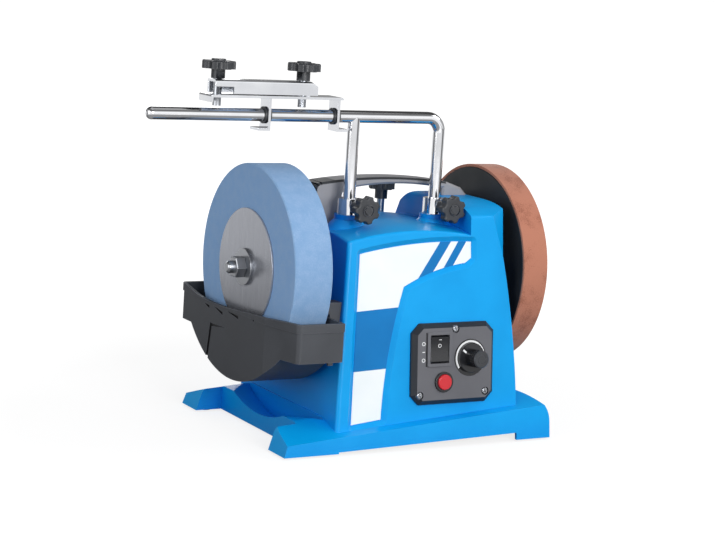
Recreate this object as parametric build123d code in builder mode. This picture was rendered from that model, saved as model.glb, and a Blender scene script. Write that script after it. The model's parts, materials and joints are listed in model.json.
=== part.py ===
from build123d import *
import math
import os

# Wet sharpening machine. Millimetres, +X along the wheel shaft from the stone to the leather wheel,
# -Y towards the operator, +Z up, origin on the bench under the middle of the base.

# Base and feet
FOOT_PROUD = 2.0
FOOT_R = 8.0
FOOT_SINK = 3.0
FOOT_IN_X = 15.0
FOOT_IN_Y = 20.0
BASE_W = 300.0
BASE_D = 227.0
BASE_WALL = 3.0
BASE_LEAN = 8.0
ARM_TOP_Z = 25.0
ARM_END_DRAFT = 7.0
ARM_ROUND = 10.0
FLANGE_TOP_Z = 44.0
FLANGE_LENGTH = 46.0
FLANGE_ROUND = 26.0
RIDGE_LEFT_Z = 13.0
RIDGE_RIGHT_Z = 34.4
RIDGE_IN = 3.0
RIDGE_RISE = 10.2
ARM_IN = 33.5
BAY_IN = 28.0
SCOOP_R_OUT = 136.0
SCOOP_R_IN = 158.0
FOOT_WALL = 2.0
POST_R = 5.0
POST_TOP_Z = 45.0
POST_HOLE = 22.5
FLOOR_SCREW_L = 15.0
POST_LEFT_X = -83.5
POST_RIGHT_X = 106.0
POST_Y = 88.0
FRONT_LIFT_LEFT = 1.5
FRONT_LIFT_RIGHT = 7.0
LEFT_FOOT_LENGTH = 58.0
RIGHT_FOOT_LENGTH = 40.0

# Tower
SIDE_WALL = 3.0
SHELL_T = 7.0
FRONT_FOOT_Y = -105.0
FRONT_LEAN = 5.7
LEFT_FOOT_X = -92.0
LEFT_TOP_X = -80.0
RIGHT_FOOT_X = 113.8
RIGHT_MID_X = 104.7
RIGHT_MID_Z = 131.0
RIGHT_WAIST_X = 95.0
RIGHT_WAIST_Z = 183.0
RIGHT_TOP_X = 103.0
BLOCK_X = 57.0
PLATFORM_Z = 212.5
BLOCK_RISE = 21.0
BLOCK_FRONT_DROP = 11.5
BLOCK_FLAT_FRONT_Y = -35.0
BLOCK_FLAT_REAR_Y = 15.0
BLOCK_END_Y = 52.6
BLOCK_END_DROP = 14.2
BLOCK_TAIL_Y = 61.0
ARCH_X = 0.0
ARCH_DROP_LEFT = 9.5
ARCH_DROP_RIGHT = 4.8
ROOF_FRONT_Y = -60.0
ROOF_REAR_Y = 20.0
ROOF_FRONT_SLOPE = 0.15
ROOF_REAR_SLOPE = 0.23
ROOF_ROUND = 4.0
CORNER_ROUND = 4.0
BLOCK_ROUND = 6.0
PLATFORM_ROUND = 3.0
FACET_TOP_X = 83.5
FACET_TOP_Z = 219.0
FACET_LOW_Z = 182.0
FACET_SIDE_Y = -72.0
VENT_X = 45.0
VENT_UP = 150.0
VENT_W = 60.0
VENT_T = 4.0
VENT_STEP = 9.0
VENT_COUNT = 5
GLAND_X = 75.0
GLAND_UP = 62.0
GLAND_R = 8.0
GLAND_FLANGE_R = 11.0
GLAND_FLANGE_T = 3.0
GLAND_NOSE = 9.0
GLAND_BORE_R = 3.8

# Shaft, bearings and wheels
SHAFT_Z = 163.0
SHAFT_R = 6.0
RUN_GAP = 0.05
FIT_GAP = 0.02
FACE_GAP = 0.4
BEARING_R = 16.0
BEARING_T = 10.0
SEAT_WALL = 6.0
LEFT_SEAT_X = -67.0
RIGHT_SEAT_X = 82.0
CAP_T = 2.0
CAP_HOLE_R = 9.0
CAP_SCREWS = 3
CAP_SCREW_R = 1.5
CAP_SCREW_L = 9.0
HEAD_R = 2.8
HEAD_T = 2.0
SHIELD_IN_R = 8.5
SHIELD_OUT_R = 13.5
SHIELD_DEPTH = 0.6
STONE_X = -142.5
STONE_R = 100.0
STONE_T = 40.0
STONE_EDGE = 1.2
PLATE_R = 57.0
PLATE_T = 2.0
INNER_FLANGE_R = 30.0
INNER_FLANGE_T = 3.5
HUB_R = 11.0
HUB_CLEAR = 1.0
WASHER_R = 18.0
WASHER_T = 3.0
NUT_FLATS = 19.0
NUT_T = 10.0
NUT_CHAMFER = 0.8
TIP_CHAMFER = 2.0
STONE_TIP = 7.0
HONE_X = 113.0
HONE_R = 100.0
HONE_T = 28.0
LEATHER_T = 3.0
HONE_DISH = 8.0
HONE_DISH_IN_R = 28.0
HONE_DISH_OUT_R = 86.0
HONE_TIP = 5.0

# Friction drive
DISC_X = -5.0
DISC_R = 33.0
DISC_T = 14.0
DISC_HUB_R = 12.0
DISC_HUB_T = 10.0
TYRE_T = 5.0
ROLLER_R = 6.0
ROLLER_T = 20.0
DRIVE_GAP = 0.3
MOTOR_R = 30.0
MOTOR_X = 14.0
MOTOR_T = 60.0
MOTOR_SHAFT_R = 4.0
MOTOR_BORE = 20.0
MOTOR_ROUND = 3.0
BRACKET_T = 4.0
BRACKET_W = 64.0
BRACKET_RISE = 26.0
BRACKET_FOOT = 36.0
BRACKET_HOLE_R = 8.0
FLOOR_Z = 10.0
FLOOR_T = 2.0

# Tool support
BAR_R = 6.0
BAR_Y = -35.0
BAR_Z = 313.0
BAR_TIP_X = -271.0
BAR_BEND_R = 14.0
LEG_LEFT_X = -54.0
LEG_RIGHT_X = 43.0
LEG_FOOT_Z = 176.0
SLEEVE_R = 11.0
SLEEVE_TOP_Z = 234.0
SLEEVE_FOOT_Z = 182.0
BOSS_R = 13.5
BOSS_TOP_Z = 218.5
FLARE_R = 24.5
FLARE_FOOT_Z = 202.0
FLARE_TOP_Z = 214.0
REAR_LEFT_X = -57.0
REAR_RIGHT_X = 39.5
REAR_SLEEVE_Z = 180.0
REAR_SLEEVE_OUT_Y = 104.0
REAR_SLEEVE_IN_Y = 40.0
REAR_BOSS_OUT_Y = 95.0
BAR_TIP_ROUND = 5.0
LEG_CHAMFER = 1.5

# Lock knobs
KNOB_R = 13.6
KNOB_T = 10.0
KNOB_LOBES = 7
KNOB_SCALLOP = 0.30
KNOB_SCALLOP_OUT = 1.12
KNOB_TIP_ROUND = 0.10
KNOB_EDGE = 1.5
KNOB_CAP = 0.42
KNOB_CAP_T = 1.5
KNOB_HUB_R = 6.5
SCREW_R = 4.0
SCREW_TIP_GAP = 0.3
LOCK_HUB = 15.0
REAR_LOCK_HUB = 10.0
REAR_TIP_SHY = 0.9
ROOF_HOLE_R = 4.6
LOCK_Z = 227.0
LOCK_HEAD_Y = -65.0
REAR_LOCK_Y = 62.0
REAR_LOCK_HEAD_Z = 230.0

# Blade jig on the bar
JIG_X_LEFT = -214.0
JIG_X_RIGHT = -75.0
JIG_T = 2.5
JIG_TOP_Z = 332.0
JIG_D = 26.0
JIG_SET_OUT = 2.0
JIG_LUG_X = -151.0
JIG_LUG_W = 18.0
JIG_LUG_FOOT_Z = 299.0
JIG_LIP = 4.5
JIG_TAB = 10.0
BUSH_R = 7.0
BUSH_FLANGE_R = 8.0
BUSH_FLANGE_T = 1.5
JAW_X_LEFT = -207.0
JAW_X_RIGHT = -100.0
JAW_D = 18.0
JAW_H = 13.0
JAW_GAP = 0.6
JIG_KNOB_LEFT_X = -201.0
JIG_KNOB_RIGHT_X = -112.0
JIG_KNOB_R = 16.0
JIG_KNOB_LIFT = 9.0
JIG_KNOB_T = 9.0
JIG_SCREW_TIP_Z = 321.0

# Water trough
TROUGH_X_OUT = -155.0
TROUGH_X_IN = -96.5
TROUGH_FRONT_X = -143.7
TROUGH_BEND_Y = -68.0
TROUGH_END_Y = 116.0
TROUGH_RIM_Z = 128.0
TROUGH_STEP_Z = 91.0
TROUGH_STEP_Y = 92.0
TROUGH_FLOOR_Z = 53.0
TROUGH_WALL = 2.5
TROUGH_LIP = 1.2
TROUGH_LIP_H = 8.0
TROUGH_ROUND = 5.0
RAIL_Y = 79.0
RAIL_W = 14.0
RAIL_FOOT_Z = 92.0
RAIL_TOP_Z = 142.0
RAIL_GAP = 0.6
RAIL_HOOK = 3.5
RAIL_HOOK_Z = 131.0
GUIDE_T = 3.0
GUIDE_H = 5.0
GUIDE_FOOT_Z = 82.0
GUIDE_TOP_Z = 126.0
RIM_DIP = (
    (116.0, 128.0),
    (100.0, 125.8),
    (81.0, 122.2),
    (60.0, 120.5),
    (25.0, 120.4),
    (-32.0, 124.0),
    (-68.0, 126.3),
    (-105.0, 128.0),
)
SLOTS = (
    ((64.1, 116.3), (51.7, 114.2)),
    ((42.1, 116.9), (21.9, 112.9)),
    ((12.7, 117.3), (-12.4, 115.8)),
    ((-39.7, 121.0), (-45.5, 119.2)),
)
SLOT_H = 3.2
SLOT_DEPTH = 1.6
GROOVE_TOP = (46.0, 99.0)
GROOVE_FOOT = (52.8, 60.0)
GROOVE_W = 4.5
GROOVE_END = (14.0, 100.4)

# Carry handle
HANDLE_D = 28.0
HANDLE_LEFT_X = -80.0
HANDLE_RIGHT_X = 95.5
HANDLE_CREST_X = 8.0
HANDLE_RISE = 18.0
HANDLE_HEEL_DROP = 15.5
HANDLE_LEFT_DROP = 6.0
HANDLE_KNEE_X = 70.0
HANDLE_KNEE_DROP = 4.5
HANDLE_SHOULDER_X = 88.0
HANDLE_SHOULDER_DROP = 10.5
HANDLE_T = 6.5
HANDLE_SEAT_Z = 204.0
HANDLE_LEG_W = 29.0
LEG_IN_LEFT_X = -49.0
LEG_IN_RIGHT_X = 66.0
HANDLE_CORNER = 7.0
HANDLE_EDGE = 2.0
SEAT_PAD_Z = 196.0
SEAT_MARGIN = 1.0
HANDLE_SCREW_R = 2.0
HANDLE_SCREW_LEFT_X = -64.0
HANDLE_SCREW_RIGHT_X = 77.0
HANDLE_SCREW_Y = 8.0
HANDLE_SCREW_GRIP = 6.0

# Label recess and control panel, on the leaning front: X and distance up the slope
RECESS_DEPTH = 3.5
RECESS_FLARE = 4.5
LABEL_T = 0.5
LABEL_EDGE = 0.6
LABEL_LOW_LEFT = (-73.2, 23.8)
LABEL_TOP_LEFT = (-66.0, 186.5)
LABEL_TOP_MID = (-5.1, 195.2)
LABEL_TOP_RIGHT = (58.8, 196.4)
LABEL_TAIL = (59.2, 180.6)
LABEL_NECK = (52.5, 175.8)
LABEL_BEND_MID = (16.2, 168.1)
LABEL_BEND = (-17.0, 154.1)
LABEL_SIDE_MID = (-31.8, 97.0)
LABEL_LOW_RIGHT = (-40.7, 27.3)
PANEL_X = 36.5
PANEL_UP = 79.0
PANEL_W = 94.0
PANEL_H = 79.0
PANEL_CUT = 9.0
PANEL_T = 7.0
PANEL_BEVEL = 4.5
PANEL_OPENING_W = 74.0
PANEL_OPENING_H = 55.5
PANEL_OPENING_RISE = 2.75
PANEL_SCREW_R = 3.2
PANEL_SCREW_T = 2.0
PANEL_SCREW_SINK = 2.0
PANEL_SCREW_RING = 0.8
PANEL_SCREW_SHANK_R = 1.6
PANEL_SCREW_BITE = 5.0
PANEL_SCREWS = ((37.1, 112.5), (-2.7, 49.1), (72.3, 50.0))
SWITCH_X = 18.5
SWITCH_UP = 93.5
SWITCH_W = 28.0
SWITCH_H = 34.0
SWITCH_RIM = 3.3
SWITCH_BODY_IN = 2.0
SWITCH_PROUD = 1.5
SWITCH_BODY_T = 22.0
ROCKER_GAP = 0.5
ROCKER_PIVOT_IN = 4.0
ROCKER_TOP = 6.0
ROCKER_WAIST = 4.0
ROCKER_FOOT = 2.0
PIVOT_R = 1.2
PIVOT_REACH = 0.9
POCKET_DEPTH = 10.0
DIAL_X = 54.0
DIAL_UP = 84.0
DIAL_R = 8.6
DIAL_SKIRT_R = 14.6
DIAL_SKIRT_T = 3.6
DIAL_T = 20.6
POT_R = 8.5
POT_T = 11.0
POT_STEM_R = 3.0
POT_STEM = 9.0
POT_BUSH_R = 4.0
DIAL_EDGE = 1.0
POINTER_W = 1.6
POINTER_L = 4.4
POINTER_IN = 3.6
POINTER_DEPTH = 0.8
POINTER_TURN = 53.0
BUTTON_X = 23.5
BUTTON_UP = 61.5
BUTTON_R = 7.5
BUTTON_RING_R = 10.0
BUTTON_RING_T = 2.5
BUTTON_PROUD = 4.5
BUTTON_EDGE = 1.0
BUTTON_SLEEVE_R = 9.0
BUTTON_FLOOR = 0.8
BUTTON_FOOT = 3.2
PLUNGER_R = 3.0
PLUNGER = 6.0
PLUNGER_WELL = 9.0
BREAKER_R = 7.0
BREAKER_T = 20.0
BOARD_W = 72.0
BOARD_H = 48.0
BOARD_T = 1.6
BOARD_IN = 34.0
BOARD_POST_R = 2.5
BOARD_POST_IN = 3.0
CAN_R = 5.0
CAN_T = 12.0
CAN_STEP = 16.0

# Reach of the searches for corners and edges
NEAR = 1.0

os.makedirs("parts", exist_ok=True)
SHAFT_AXIS = Axis((0, 0, SHAFT_Z), (1, 0, 0))
LEAN_SIN = math.sin(math.radians(FRONT_LEAN))
LEAN_COS = math.cos(math.radians(FRONT_LEAN))
BASE_Z = FOOT_PROUD
BLOCK_Z = PLATFORM_Z + BLOCK_RISE
FRONT = Plane((0, FRONT_FOOT_Y, BASE_Z), (1, 0, 0), (0, -LEAN_COS, LEAN_SIN))
REAR = Plane((0, -FRONT_FOOT_Y, BASE_Z), (-1, 0, 0), (0, LEAN_COS, LEAN_SIN))
FLOOR_TOP_Z = FLOOR_Z + FLOOR_T
HALF_W = BASE_W / 2
HALF_D = BASE_D / 2
LEG_SPOTS = [(x, BAR_Y) for x in (LEG_LEFT_X, LEG_RIGHT_X)]
REAR_SPOTS = [(x, REAR_SLEEVE_Z) for x in (REAR_LEFT_X, REAR_RIGHT_X)]
REAR_LOCK_SPOTS = [(x, REAR_LOCK_Y) for x in (REAR_LEFT_X, REAR_RIGHT_X)]
FOOT_X = HALF_W - FOOT_IN_X
FOOT_Y = HALF_D - FOOT_IN_Y
FOOT_SPOTS = [(x, y) for x in (-FOOT_X, FOOT_X) for y in (-FOOT_Y, FOOT_Y)]
POST_SPOTS = [(x, y) for x in (POST_LEFT_X, POST_RIGHT_X) for y in (-POST_Y, POST_Y)]


def save(piece, node):
    """Labels a finished piece and writes its STEP file."""
    piece.label = node
    export_step(piece, f"parts/{node}.step")


def front_y(z):
    """Y of the leaning front at a height."""
    return FRONT_FOOT_Y + (z - BASE_Z) * LEAN_SIN / LEAN_COS


def left_x(z):
    """X of the tower's left wall at a height."""
    top = arch_z(LEFT_TOP_X)
    return LEFT_FOOT_X + (LEFT_TOP_X - LEFT_FOOT_X) * (z - BASE_Z) / (top - BASE_Z)


def arch_z(x):
    """Height of the platform's arch over X, its crest level and its two sides of different radius."""
    span, drop = (ARCH_X - LEFT_TOP_X, ARCH_DROP_LEFT) if x < ARCH_X else (BLOCK_X - ARCH_X, ARCH_DROP_RIGHT)
    radius = (span**2 + drop**2) / (2 * drop)
    return PLATFORM_Z - radius + math.sqrt(radius**2 - (x - ARCH_X) ** 2)


def over_arch(right, lower):
    """Face over the platform's arch, moved down by lower and ending at right."""
    crest = (ARCH_X, PLATFORM_Z - lower)
    left_end = (LEFT_FOOT_X, arch_z(LEFT_FOOT_X) - lower)
    right_end = (right, arch_z(right) - lower)
    with BuildSketch() as gap:
        with BuildLine():
            TangentArc(crest, left_end, tangent=(-1, 0))
            TangentArc(crest, right_end, tangent=(1, 0))
            Polyline(right_end, (right, BLOCK_Z + SHELL_T), (LEFT_FOOT_X, BLOCK_Z + SHELL_T), left_end)
        make_face()
    return gap.sketch


def plane_through(a, b, c):
    """Plane through three points, its normal by the right hand."""
    a, b, c = Vector(*a), Vector(*b), Vector(*c)
    return Plane(a, (b - a).normalized(), (b - a).cross(c - a).normalized())


def across(x, z=SHAFT_Z):
    """Plane square to X at a place along the shaft, local axes Y and Z."""
    return Plane((x, 0, z), (0, 1, 0), (1, 0, 0))


def ring(plane, outer, inner, length):
    """Plain ring standing on a plane."""
    with BuildPart() as piece:
        with BuildSketch(plane):
            Circle(outer)
            Circle(inner, mode=Mode.SUBTRACT)
        extrude(amount=length)
    return piece.part


def tower(inset, shell, bottom):
    """Tower solid, its sides moved in by inset and its front, rear and roof by shell."""
    left_top = (LEFT_TOP_X, arch_z(LEFT_TOP_X))
    block_foot = (BLOCK_X, arch_z(BLOCK_X))
    waist = (RIGHT_WAIST_X, RIGHT_WAIST_Z)
    right_foot = (RIGHT_FOOT_X, FLANGE_TOP_Z)
    crest = (ARCH_X, PLATFORM_Z)
    brow_z = BLOCK_Z - BLOCK_FRONT_DROP
    tail_z = PLATFORM_Z - ROOF_REAR_SLOPE * (BLOCK_TAIL_Y - ROOF_REAR_Y)
    heel_z = PLATFORM_Z - ROOF_REAR_SLOPE * (-front_y(tail_z) - ROOF_REAR_Y)
    facet = plane_through(
        (FACET_TOP_X, front_y(FACET_TOP_Z), FACET_TOP_Z),
        (RIGHT_WAIST_X, front_y(FACET_LOW_Z), FACET_LOW_Z),
        (RIGHT_TOP_X, FACET_SIDE_Y, FACET_TOP_Z),
    )
    with BuildPart() as body:
        with BuildSketch(Plane.XZ) as front_view:
            with BuildLine():
                TangentArc(crest, left_top, tangent=(-1, 0))
                TangentArc(crest, block_foot, tangent=(1, 0))
                Polyline(block_foot, (BLOCK_X, BLOCK_Z), (RIGHT_TOP_X, BLOCK_Z), waist)
                ThreePointArc(waist, (RIGHT_MID_X, RIGHT_MID_Z), right_foot)
                Polyline(right_foot, (RIGHT_FOOT_X, bottom), (LEFT_FOOT_X, bottom), left_top)
            make_face()
            if inset:
                offset(amount=-inset, kind=Kind.INTERSECTION)
            else:
                fillet(front_view.vertices().group_by(Axis.Y)[-1], BLOCK_ROUND)
        extrude(amount=BASE_D, both=True)
        with BuildSketch(Plane.YZ) as side_view:
            with BuildLine():
                front_top = (front_y(brow_z), brow_z)
                flat_front = (BLOCK_FLAT_FRONT_Y, BLOCK_Z)
                flat_rear = (BLOCK_FLAT_REAR_Y, BLOCK_Z)
                rear_top = (BLOCK_END_Y, BLOCK_Z - BLOCK_END_DROP)
                TangentArc(flat_front, front_top, tangent=(-1, 0))
                Line(flat_front, flat_rear)
                TangentArc(flat_rear, rear_top, tangent=(1, 0))
                Polyline(
                    rear_top,
                    (BLOCK_TAIL_Y, tail_z),
                    (-front_y(heel_z), heel_z),
                    (-front_y(bottom), bottom),
                    (front_y(bottom), bottom),
                    front_top,
                )
            make_face()
            if shell:
                offset(amount=-shell, kind=Kind.INTERSECTION)
            else:
                corners = side_view.vertices().filter_by_position(Axis.Y, tail_z + NEAR, BLOCK_Z - NEAR)
                fillet(corners, ROOF_ROUND)
        extrude(amount=BASE_W, both=True, mode=Mode.INTERSECT)
        for start_y, way, slope in ((ROOF_FRONT_Y, -1, ROOF_FRONT_SLOPE), (ROOF_REAR_Y, 1, ROOF_REAR_SLOPE)):
            with BuildSketch(Plane.XZ.offset(-start_y)):
                add(over_arch(BLOCK_X + inset, shell))
            extrude(amount=BASE_D, dir=(0, way, -slope), mode=Mode.SUBTRACT)
        if shell:
            with BuildSketch(Plane.XZ.offset(-ROOF_REAR_Y)):
                add(over_arch(BLOCK_X + inset, shell))
            extrude(amount=ROOF_REAR_Y - ROOF_FRONT_Y, mode=Mode.SUBTRACT)
        split(bisect_by=facet.offset(-inset), keep=Keep.BOTTOM)
    return body.part


def base(inset, bottom):
    """Base solid with its arms and scoop, every face moved in by inset."""
    ridge_y = HALF_D - RIDGE_IN
    arm_y = HALF_D - ARM_IN
    with BuildPart() as body:
        with BuildSketch(Plane.XZ) as outline:
            with BuildLine():
                Polyline(
                    (-HALF_W, bottom),
                    (ARM_END_DRAFT - HALF_W, ARM_TOP_Z),
                    (HALF_W - FLANGE_LENGTH, FLANGE_TOP_Z),
                    (HALF_W, FLANGE_TOP_Z),
                    (HALF_W, bottom),
                    close=True,
                )
            make_face()
            tops = outline.vertices().sort_by(Axis.Y)
            fillet(tops.filter_by_position(Axis.X, -HALF_W, 0)[-1], ARM_ROUND)
            fillet(outline.vertices().group_by(Axis.Y)[-1].sort_by(Axis.X)[-1], FLANGE_ROUND)
            if inset:
                offset(amount=-inset, kind=Kind.INTERSECTION)
        extrude(amount=HALF_D - inset, both=True)
        for side in (-1, 1):
            left = (-HALF_W, side * ridge_y, RIDGE_LEFT_Z)
            right = (HALF_W, side * ridge_y, RIDGE_RIGHT_Z)
            upper = (-HALF_W, side * arm_y, RIDGE_LEFT_Z + RIDGE_RISE)
            slope = plane_through(left, right, upper) if side < 0 else plane_through(right, left, upper)
            split(bisect_by=slope.offset(-inset), keep=Keep.BOTTOM)
            lean = math.radians(BASE_LEAN)
            face = Plane((0, side * HALF_D, BASE_Z), (1, 0, 0), (0, side * math.cos(lean), math.sin(lean)))
            split(bisect_by=face.offset(-inset), keep=Keep.BOTTOM)
        with BuildSketch(Plane.XZ):
            with BuildLine():
                Polyline(
                    (-HALF_W, SHAFT_Z),
                    (-HALF_W, SHAFT_Z - SCOOP_R_OUT - inset),
                    (LEFT_FOOT_X + inset, SHAFT_Z - SCOOP_R_IN - inset),
                    (LEFT_FOOT_X + inset, SHAFT_Z),
                    close=True,
                )
            make_face()
        revolve(axis=SHAFT_AXIS, mode=Mode.SUBTRACT)
        with Locations((-HALF_W, 0, 0)):
            Box(2 * (BAY_IN + inset), 2 * (arm_y + inset), 2 * FLANGE_TOP_Z, mode=Mode.SUBTRACT)
    return body.part


def label_outline():
    """Outline of the front label in X and distance up the slope."""
    with BuildSketch() as outline:
        with BuildLine():
            Line(LABEL_LOW_LEFT, LABEL_TOP_LEFT)
            ThreePointArc(LABEL_TOP_LEFT, LABEL_TOP_MID, LABEL_TOP_RIGHT)
            Polyline(LABEL_TOP_RIGHT, LABEL_TAIL, LABEL_NECK)
            ThreePointArc(LABEL_NECK, LABEL_BEND_MID, LABEL_BEND)
            ThreePointArc(LABEL_BEND, LABEL_SIDE_MID, LABEL_LOW_RIGHT)
            Line(LABEL_LOW_RIGHT, LABEL_LOW_LEFT)
        make_face()
    return outline.sketch


# Hollow inside the housing, less the bosses, sockets and seats that stay solid
with BuildPart() as hollow:
    add(tower(SIDE_WALL, SHELL_T, BASE_Z - 2 * SHELL_T))
    add(base(BASE_WALL, BASE_Z - 2 * BASE_WALL))
    with BuildSketch(Plane.XY):
        with Locations(*FOOT_SPOTS):
            Circle(FOOT_R + FOOT_WALL)
    extrude(amount=FLANGE_TOP_Z, mode=Mode.SUBTRACT)
    with BuildSketch(Plane.XY.offset(FLOOR_TOP_Z)):
        with Locations(*POST_SPOTS):
            Circle(POST_R)
    extrude(amount=POST_TOP_Z - FLOOR_TOP_Z, mode=Mode.SUBTRACT)
    with BuildSketch(across(LEFT_SEAT_X)):
        Circle(BEARING_R + SEAT_WALL)
    extrude(amount=-HALF_W, mode=Mode.SUBTRACT)
    with BuildSketch(across(RIGHT_SEAT_X)):
        Circle(BEARING_R + SEAT_WALL)
    extrude(amount=HALF_W, mode=Mode.SUBTRACT)
    with BuildSketch(Plane.XY.offset(SLEEVE_FOOT_Z)):
        with Locations(*LEG_SPOTS):
            Circle(BOSS_R)
    extrude(amount=BLOCK_Z, mode=Mode.SUBTRACT)
    with BuildSketch(Plane.XZ.offset(-REAR_SLEEVE_IN_Y)):
        with Locations(*REAR_SPOTS):
            Circle(BOSS_R)
    extrude(amount=-HALF_D, mode=Mode.SUBTRACT)
    with BuildSketch(Plane.XY.offset(SEAT_PAD_Z)):
        with Locations((LEG_IN_LEFT_X - HANDLE_LEG_W / 2, 0)):
            Rectangle(HANDLE_LEG_W, HANDLE_D)
    extrude(amount=SHELL_T + HANDLE_SEAT_Z - SEAT_PAD_Z, mode=Mode.SUBTRACT)

with BuildPart() as housing:
    add(tower(0, 0, BASE_Z))
    upright = housing.edges().filter_by(lambda edge: abs(edge.tangent_at(0.5).Z) > LEAN_COS - LEAN_SIN)
    fillet(upright.sort_by(Axis.X)[:2], CORNER_ROUND)
    brow = housing.edges().filter_by_position(Axis.Z, arch_z(LEFT_TOP_X) - CORNER_ROUND, PLATFORM_Z)
    brow = brow.filter_by_position(Axis.X, LEFT_TOP_X - CORNER_ROUND, BLOCK_X - CORNER_ROUND)
    brow = brow.filter_by(lambda edge: edge.center().Y < front_y(PLATFORM_Z) + CORNER_ROUND)
    fillet(brow, PLATFORM_ROUND)
    add(base(0, BASE_Z))
    with BuildSketch(Plane.XY.offset(SLEEVE_FOOT_Z)):
        with Locations(*LEG_SPOTS):
            Circle(BOSS_R)
    extrude(amount=BOSS_TOP_Z - SLEEVE_FOOT_Z)
    for leg_x, leg_y in LEG_SPOTS:
        with Locations((leg_x, leg_y, (FLARE_FOOT_Z + FLARE_TOP_Z) / 2)):
            Cone(FLARE_R, BOSS_R, FLARE_TOP_Z - FLARE_FOOT_Z)
    with BuildSketch(Plane.XZ.offset(-REAR_SLEEVE_IN_Y)):
        with Locations(*REAR_SPOTS):
            Circle(BOSS_R)
    extrude(amount=REAR_SLEEVE_IN_Y - REAR_BOSS_OUT_Y)
    with BuildSketch(Plane.XY.offset(SEAT_PAD_Z)):
        with Locations((LEG_IN_LEFT_X - HANDLE_LEG_W / 2, 0)):
            Rectangle(HANDLE_LEG_W + 2 * SEAT_MARGIN, HANDLE_D + 2 * SEAT_MARGIN)
    extrude(amount=HANDLE_SEAT_Z - SEAT_PAD_Z)
    with BuildSketch(Plane.XY.offset(HANDLE_SEAT_Z)):
        with Locations((LEG_IN_LEFT_X - HANDLE_LEG_W / 2, 0)):
            Rectangle(HANDLE_LEG_W + 2 * SEAT_MARGIN, HANDLE_D + 2 * SEAT_MARGIN)
    extrude(amount=SHELL_T, mode=Mode.SUBTRACT)
    add(hollow.part, mode=Mode.SUBTRACT)
    # Sockets for the sleeves and seats for the bearings
    with BuildSketch(Plane.XY.offset(SLEEVE_FOOT_Z)):
        with Locations(*LEG_SPOTS):
            Circle(SLEEVE_R + FIT_GAP)
    extrude(amount=BOSS_TOP_Z - SLEEVE_FOOT_Z, mode=Mode.SUBTRACT)
    with BuildSketch(Plane.XZ.offset(-REAR_SLEEVE_IN_Y)):
        with Locations(*REAR_SPOTS):
            Circle(SLEEVE_R + FIT_GAP)
    extrude(amount=REAR_SLEEVE_IN_Y - REAR_BOSS_OUT_Y, mode=Mode.SUBTRACT)
    with BuildSketch(Plane.XY.offset(REAR_SLEEVE_Z)):
        with Locations(*REAR_LOCK_SPOTS):
            Circle(ROOF_HOLE_R)
    extrude(amount=PLATFORM_Z - REAR_SLEEVE_Z, mode=Mode.SUBTRACT)
    for seat_x, way in ((LEFT_SEAT_X, -1), (RIGHT_SEAT_X, 1)):
        with BuildSketch(across(seat_x)):
            Circle(BEARING_R + FIT_GAP)
        extrude(amount=way * BEARING_T, mode=Mode.SUBTRACT)
        with BuildSketch(across(seat_x)):
            Circle(HUB_R + HUB_CLEAR)
        extrude(amount=way * HALF_W, mode=Mode.SUBTRACT)
        with BuildSketch(across(seat_x)):
            with PolarLocations(BEARING_R + SEAT_WALL / 2, CAP_SCREWS, start_angle=90):
                Circle(CAP_SCREW_R + FIT_GAP)
        extrude(amount=way * CAP_SCREW_L, mode=Mode.SUBTRACT)
    # Underside: pockets for the feet, screw holes in the posts, lifted edge between the feet
    with BuildSketch(Plane.XY.offset(BASE_Z)):
        with Locations(*FOOT_SPOTS):
            Circle(FOOT_R + RUN_GAP)
    extrude(amount=FOOT_SINK, mode=Mode.SUBTRACT)
    with BuildSketch(Plane.XY.offset(FLOOR_TOP_Z)):
        with Locations(*POST_SPOTS):
            Circle(PANEL_SCREW_SHANK_R + FIT_GAP)
    extrude(amount=POST_HOLE, mode=Mode.SUBTRACT)
    with BuildSketch(Plane.XZ):
        with BuildLine():
            Polyline(
                (LEFT_FOOT_LENGTH - HALF_W, 0),
                (LEFT_FOOT_LENGTH - HALF_W, BASE_Z + FRONT_LIFT_LEFT),
                (HALF_W - RIGHT_FOOT_LENGTH, BASE_Z + FRONT_LIFT_RIGHT),
                (HALF_W - RIGHT_FOOT_LENGTH, 0),
                close=True,
            )
        make_face()
    extrude(amount=BASE_D, both=True, mode=Mode.SUBTRACT)
    # Front: label recess and panel opening; rear: vents and cable gland
    with BuildSketch(FRONT.offset(-RECESS_DEPTH)):
        add(label_outline())
        offset(amount=LABEL_EDGE)
    flare = math.degrees(math.atan2(RECESS_FLARE, RECESS_DEPTH))
    extrude(amount=RECESS_DEPTH, taper=-flare, mode=Mode.SUBTRACT)
    with BuildSketch(FRONT):
        with Locations((PANEL_X, PANEL_UP + PANEL_OPENING_RISE)):
            Rectangle(PANEL_OPENING_W, PANEL_OPENING_H)
    extrude(amount=-2 * SHELL_T, mode=Mode.SUBTRACT)
    with BuildSketch(FRONT):
        with Locations(*PANEL_SCREWS):
            Circle(PANEL_SCREW_SHANK_R + FIT_GAP)
    extrude(amount=-PANEL_SCREW_BITE, mode=Mode.SUBTRACT)
    with BuildSketch(REAR):
        with Locations((-VENT_X, VENT_UP)):
            with GridLocations(0, VENT_STEP, 1, VENT_COUNT):
                SlotOverall(VENT_W, VENT_T)
        with Locations((-GLAND_X, GLAND_UP)):
            Circle(GLAND_R + FIT_GAP)
    extrude(amount=-2 * SHELL_T, mode=Mode.SUBTRACT)
    with BuildSketch(Plane.XY.offset(SEAT_PAD_Z)):
        with Locations((HANDLE_SCREW_LEFT_X, 0), (HANDLE_SCREW_RIGHT_X, 0)):
            with GridLocations(0, 2 * HANDLE_SCREW_Y, 1, 2):
                Circle(HANDLE_SCREW_R + FIT_GAP)
    extrude(amount=BLOCK_Z - SEAT_PAD_Z, mode=Mode.SUBTRACT)
save(housing.part, "housing")

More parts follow.
